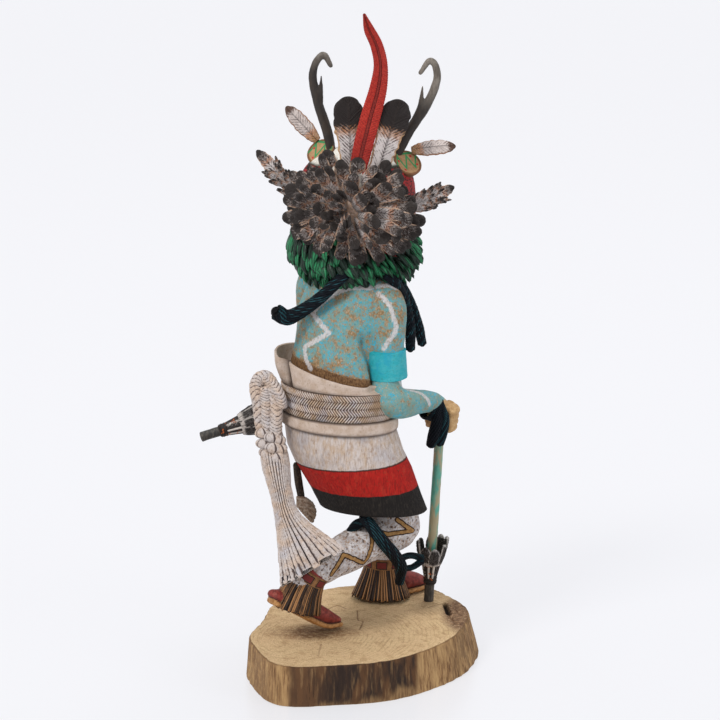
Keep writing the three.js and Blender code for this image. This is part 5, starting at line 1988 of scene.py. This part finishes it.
class DOLL_OT_head(bpy.types.Operator):
    """Case mask, spruce collar, horns and squash-blossom ears"""

    bl_idname = "doll.head"
    bl_label = "Head"

    def execute(self, context):
        deliver(mask_mesh(), "mask", mask_paint(), ["case_mask"], 60)
        deliver(collar_mesh(), "collar", spruce_paint(), ["spruce_collar"], 60)
        horn, disc = horn_paint(), blossom_paint()
        for side, (face, lean) in BLOSSOMS.items():
            ear = blossom_mesh(face, lean)
            deliver(horn_mesh(side), f"pronghorn_{side}", horn, [f"horn_{side}"], 60)
            deliver(ear, f"blossom_{side}", disc, [f"blossom_ear_{side}"], 40)
        return {"FINISHED"}


class DOLL_OT_feathers(bpy.types.Operator):
    """All the feathers of the head"""

    bl_idname = "doll.feathers"
    bl_label = "Feathers"

    def execute(self, context):
        quill = feather_paint(
            "quill_vane", tint(208, 199, 196), tint(88, 74, 68), colours().quill_dark, 0.66, 0.86, count=12,
            streak=0.95, edge=tint(196, 164, 140), warm=colours().quill_warm,
        )
        deliver(bunch_mesh(), "bunch", quill, ["feather_bunch"], 60)
        red = feather_paint(
            "red_vane", tint(168, 34, 26), tint(184, 40, 28), tint(160, 38, 28), 0.1, 0.97, count=86,
            streak=0.5, slant=0.025, shade=tint(92, 16, 14), light=tint(222, 96, 70), grooves=0.8,
        )
        deliver(red_feather_mesh(), "tall_feather", red, ["red_feather"], 60)
        eagle = feather_paint(
            "eagle_vane", tint(214, 203, 200), tint(104, 70, 46), tint(34, 26, 24), 0.585, 0.625, count=22,
            streak=0.9, edge=tint(190, 150, 110), warm=tint(176, 112, 58), patchy=3.2,
        )
        shape, face = (0.56, 0.66, 0.78, 0.9, 1.0, 1.0, 0.96), np.array([0.1, -1.0, 0.1])
        for side, (root, tip) in EAGLE_FEATHERS.items():
            mesh = plume_mesh(root, tip, face, shape, 16.4, 2.6, 1.2, 26, 3, 0.1)
            deliver(mesh, f"eagle_{side}", eagle, [f"eagle_feather_{side}"], 60)
        pale = feather_paint(
            "blossom_vane", tint(190, 142, 98), tint(212, 198, 192), tint(96, 72, 60), 0.2, 0.82, count=14,
            streak=0.6, edge=tint(150, 108, 78), patchy=2.4, warm=tint(196, 132, 84),
        )
        for side, (root, tip, face, width) in DISC_FEATHERS.items():
            mesh = plume_mesh(root, tip, face, (0.5, 0.85, 1, 0.95, 0.8, 0.5), width, 2.2, 0.5, 14, 5, 0.08)
            deliver(mesh, f"disc_feather_{side}", pale, [f"blossom_feather_{side}"], 60)
        for side, (root, tip, width) in SIDE_FEATHERS.items():
            mesh = ragged_mesh(np.array(root), np.array(tip), width)
            deliver(mesh, f"side_feather_{side}", quill, [f"ear_feather_{side}"], 60)
        return {"FINISHED"}


class DOLL_OT_yarn(bpy.types.Operator):
    """Yarn at the neck, the wrist and the knee"""

    bl_idname = "doll.yarn"
    bl_label = "Yarn"

    def execute(self, context):
        paint = yarn_paint()
        for kind in ("neck", "wrist", "knee"):
            deliver(yarn_mesh(kind), f"skein_{kind}", paint, [f"{kind}_yarn"], 70)
        return {"FINISHED"}


class DOLL_OT_sash(bpy.types.Operator):
    """Rain sash with its husk balls, and the short tassel"""

    bl_idname = "doll.sash"
    bl_label = "Rain sash"

    def execute(self, context):
        deliver(sash_mesh(), "sash_cords", cotton_paint(), ["rain_sash"], 70)
        deliver(tassel_mesh(), "tassel_cords", tassel_paint(), ["side_tassel"], 70)
        return {"FINISHED"}


class DOLL_PT_panel(bpy.types.Panel):
    """Colours, sizes and pieces of the doll"""

    bl_label = "Kachina Doll"
    bl_idname = "DOLL_PT_panel"
    bl_space_type = "VIEW_3D"
    bl_region_type = "UI"
    bl_category = "Kachina Doll"

    def draw(self, context):
        layout = self.layout
        for group, kind in ((sizes(), DollSizes), (colours(), DollColours)):
            box = layout.box()
            for name in kind.__annotations__:
                box.prop(group, name)
        for step in STEPS:
            layout.operator(step.bl_idname)


STEPS = (
    DOLL_OT_stage, DOLL_OT_slab, DOLL_OT_body, DOLL_OT_arms, DOLL_OT_head, DOLL_OT_feathers, DOLL_OT_yarn,
    DOLL_OT_sash,
)
CLASSES = (DollColours, DollSizes, *STEPS, DOLL_PT_panel)


def register():
    for kind in CLASSES:
        bpy.utils.register_class(kind)
    bpy.types.Scene.doll_colours = bpy.props.PointerProperty(type=DollColours)
    bpy.types.Scene.doll_sizes = bpy.props.PointerProperty(type=DollSizes)


def unregister():
    del bpy.types.Scene.doll_colours
    del bpy.types.Scene.doll_sizes
    for kind in reversed(CLASSES):
        bpy.utils.unregister_class(kind)


def main():
    register()
    for step in STEPS:
        group, name = step.bl_idname.split(".")
        getattr(getattr(bpy.ops, group), name)()


if __name__ == "__main__":
    main()
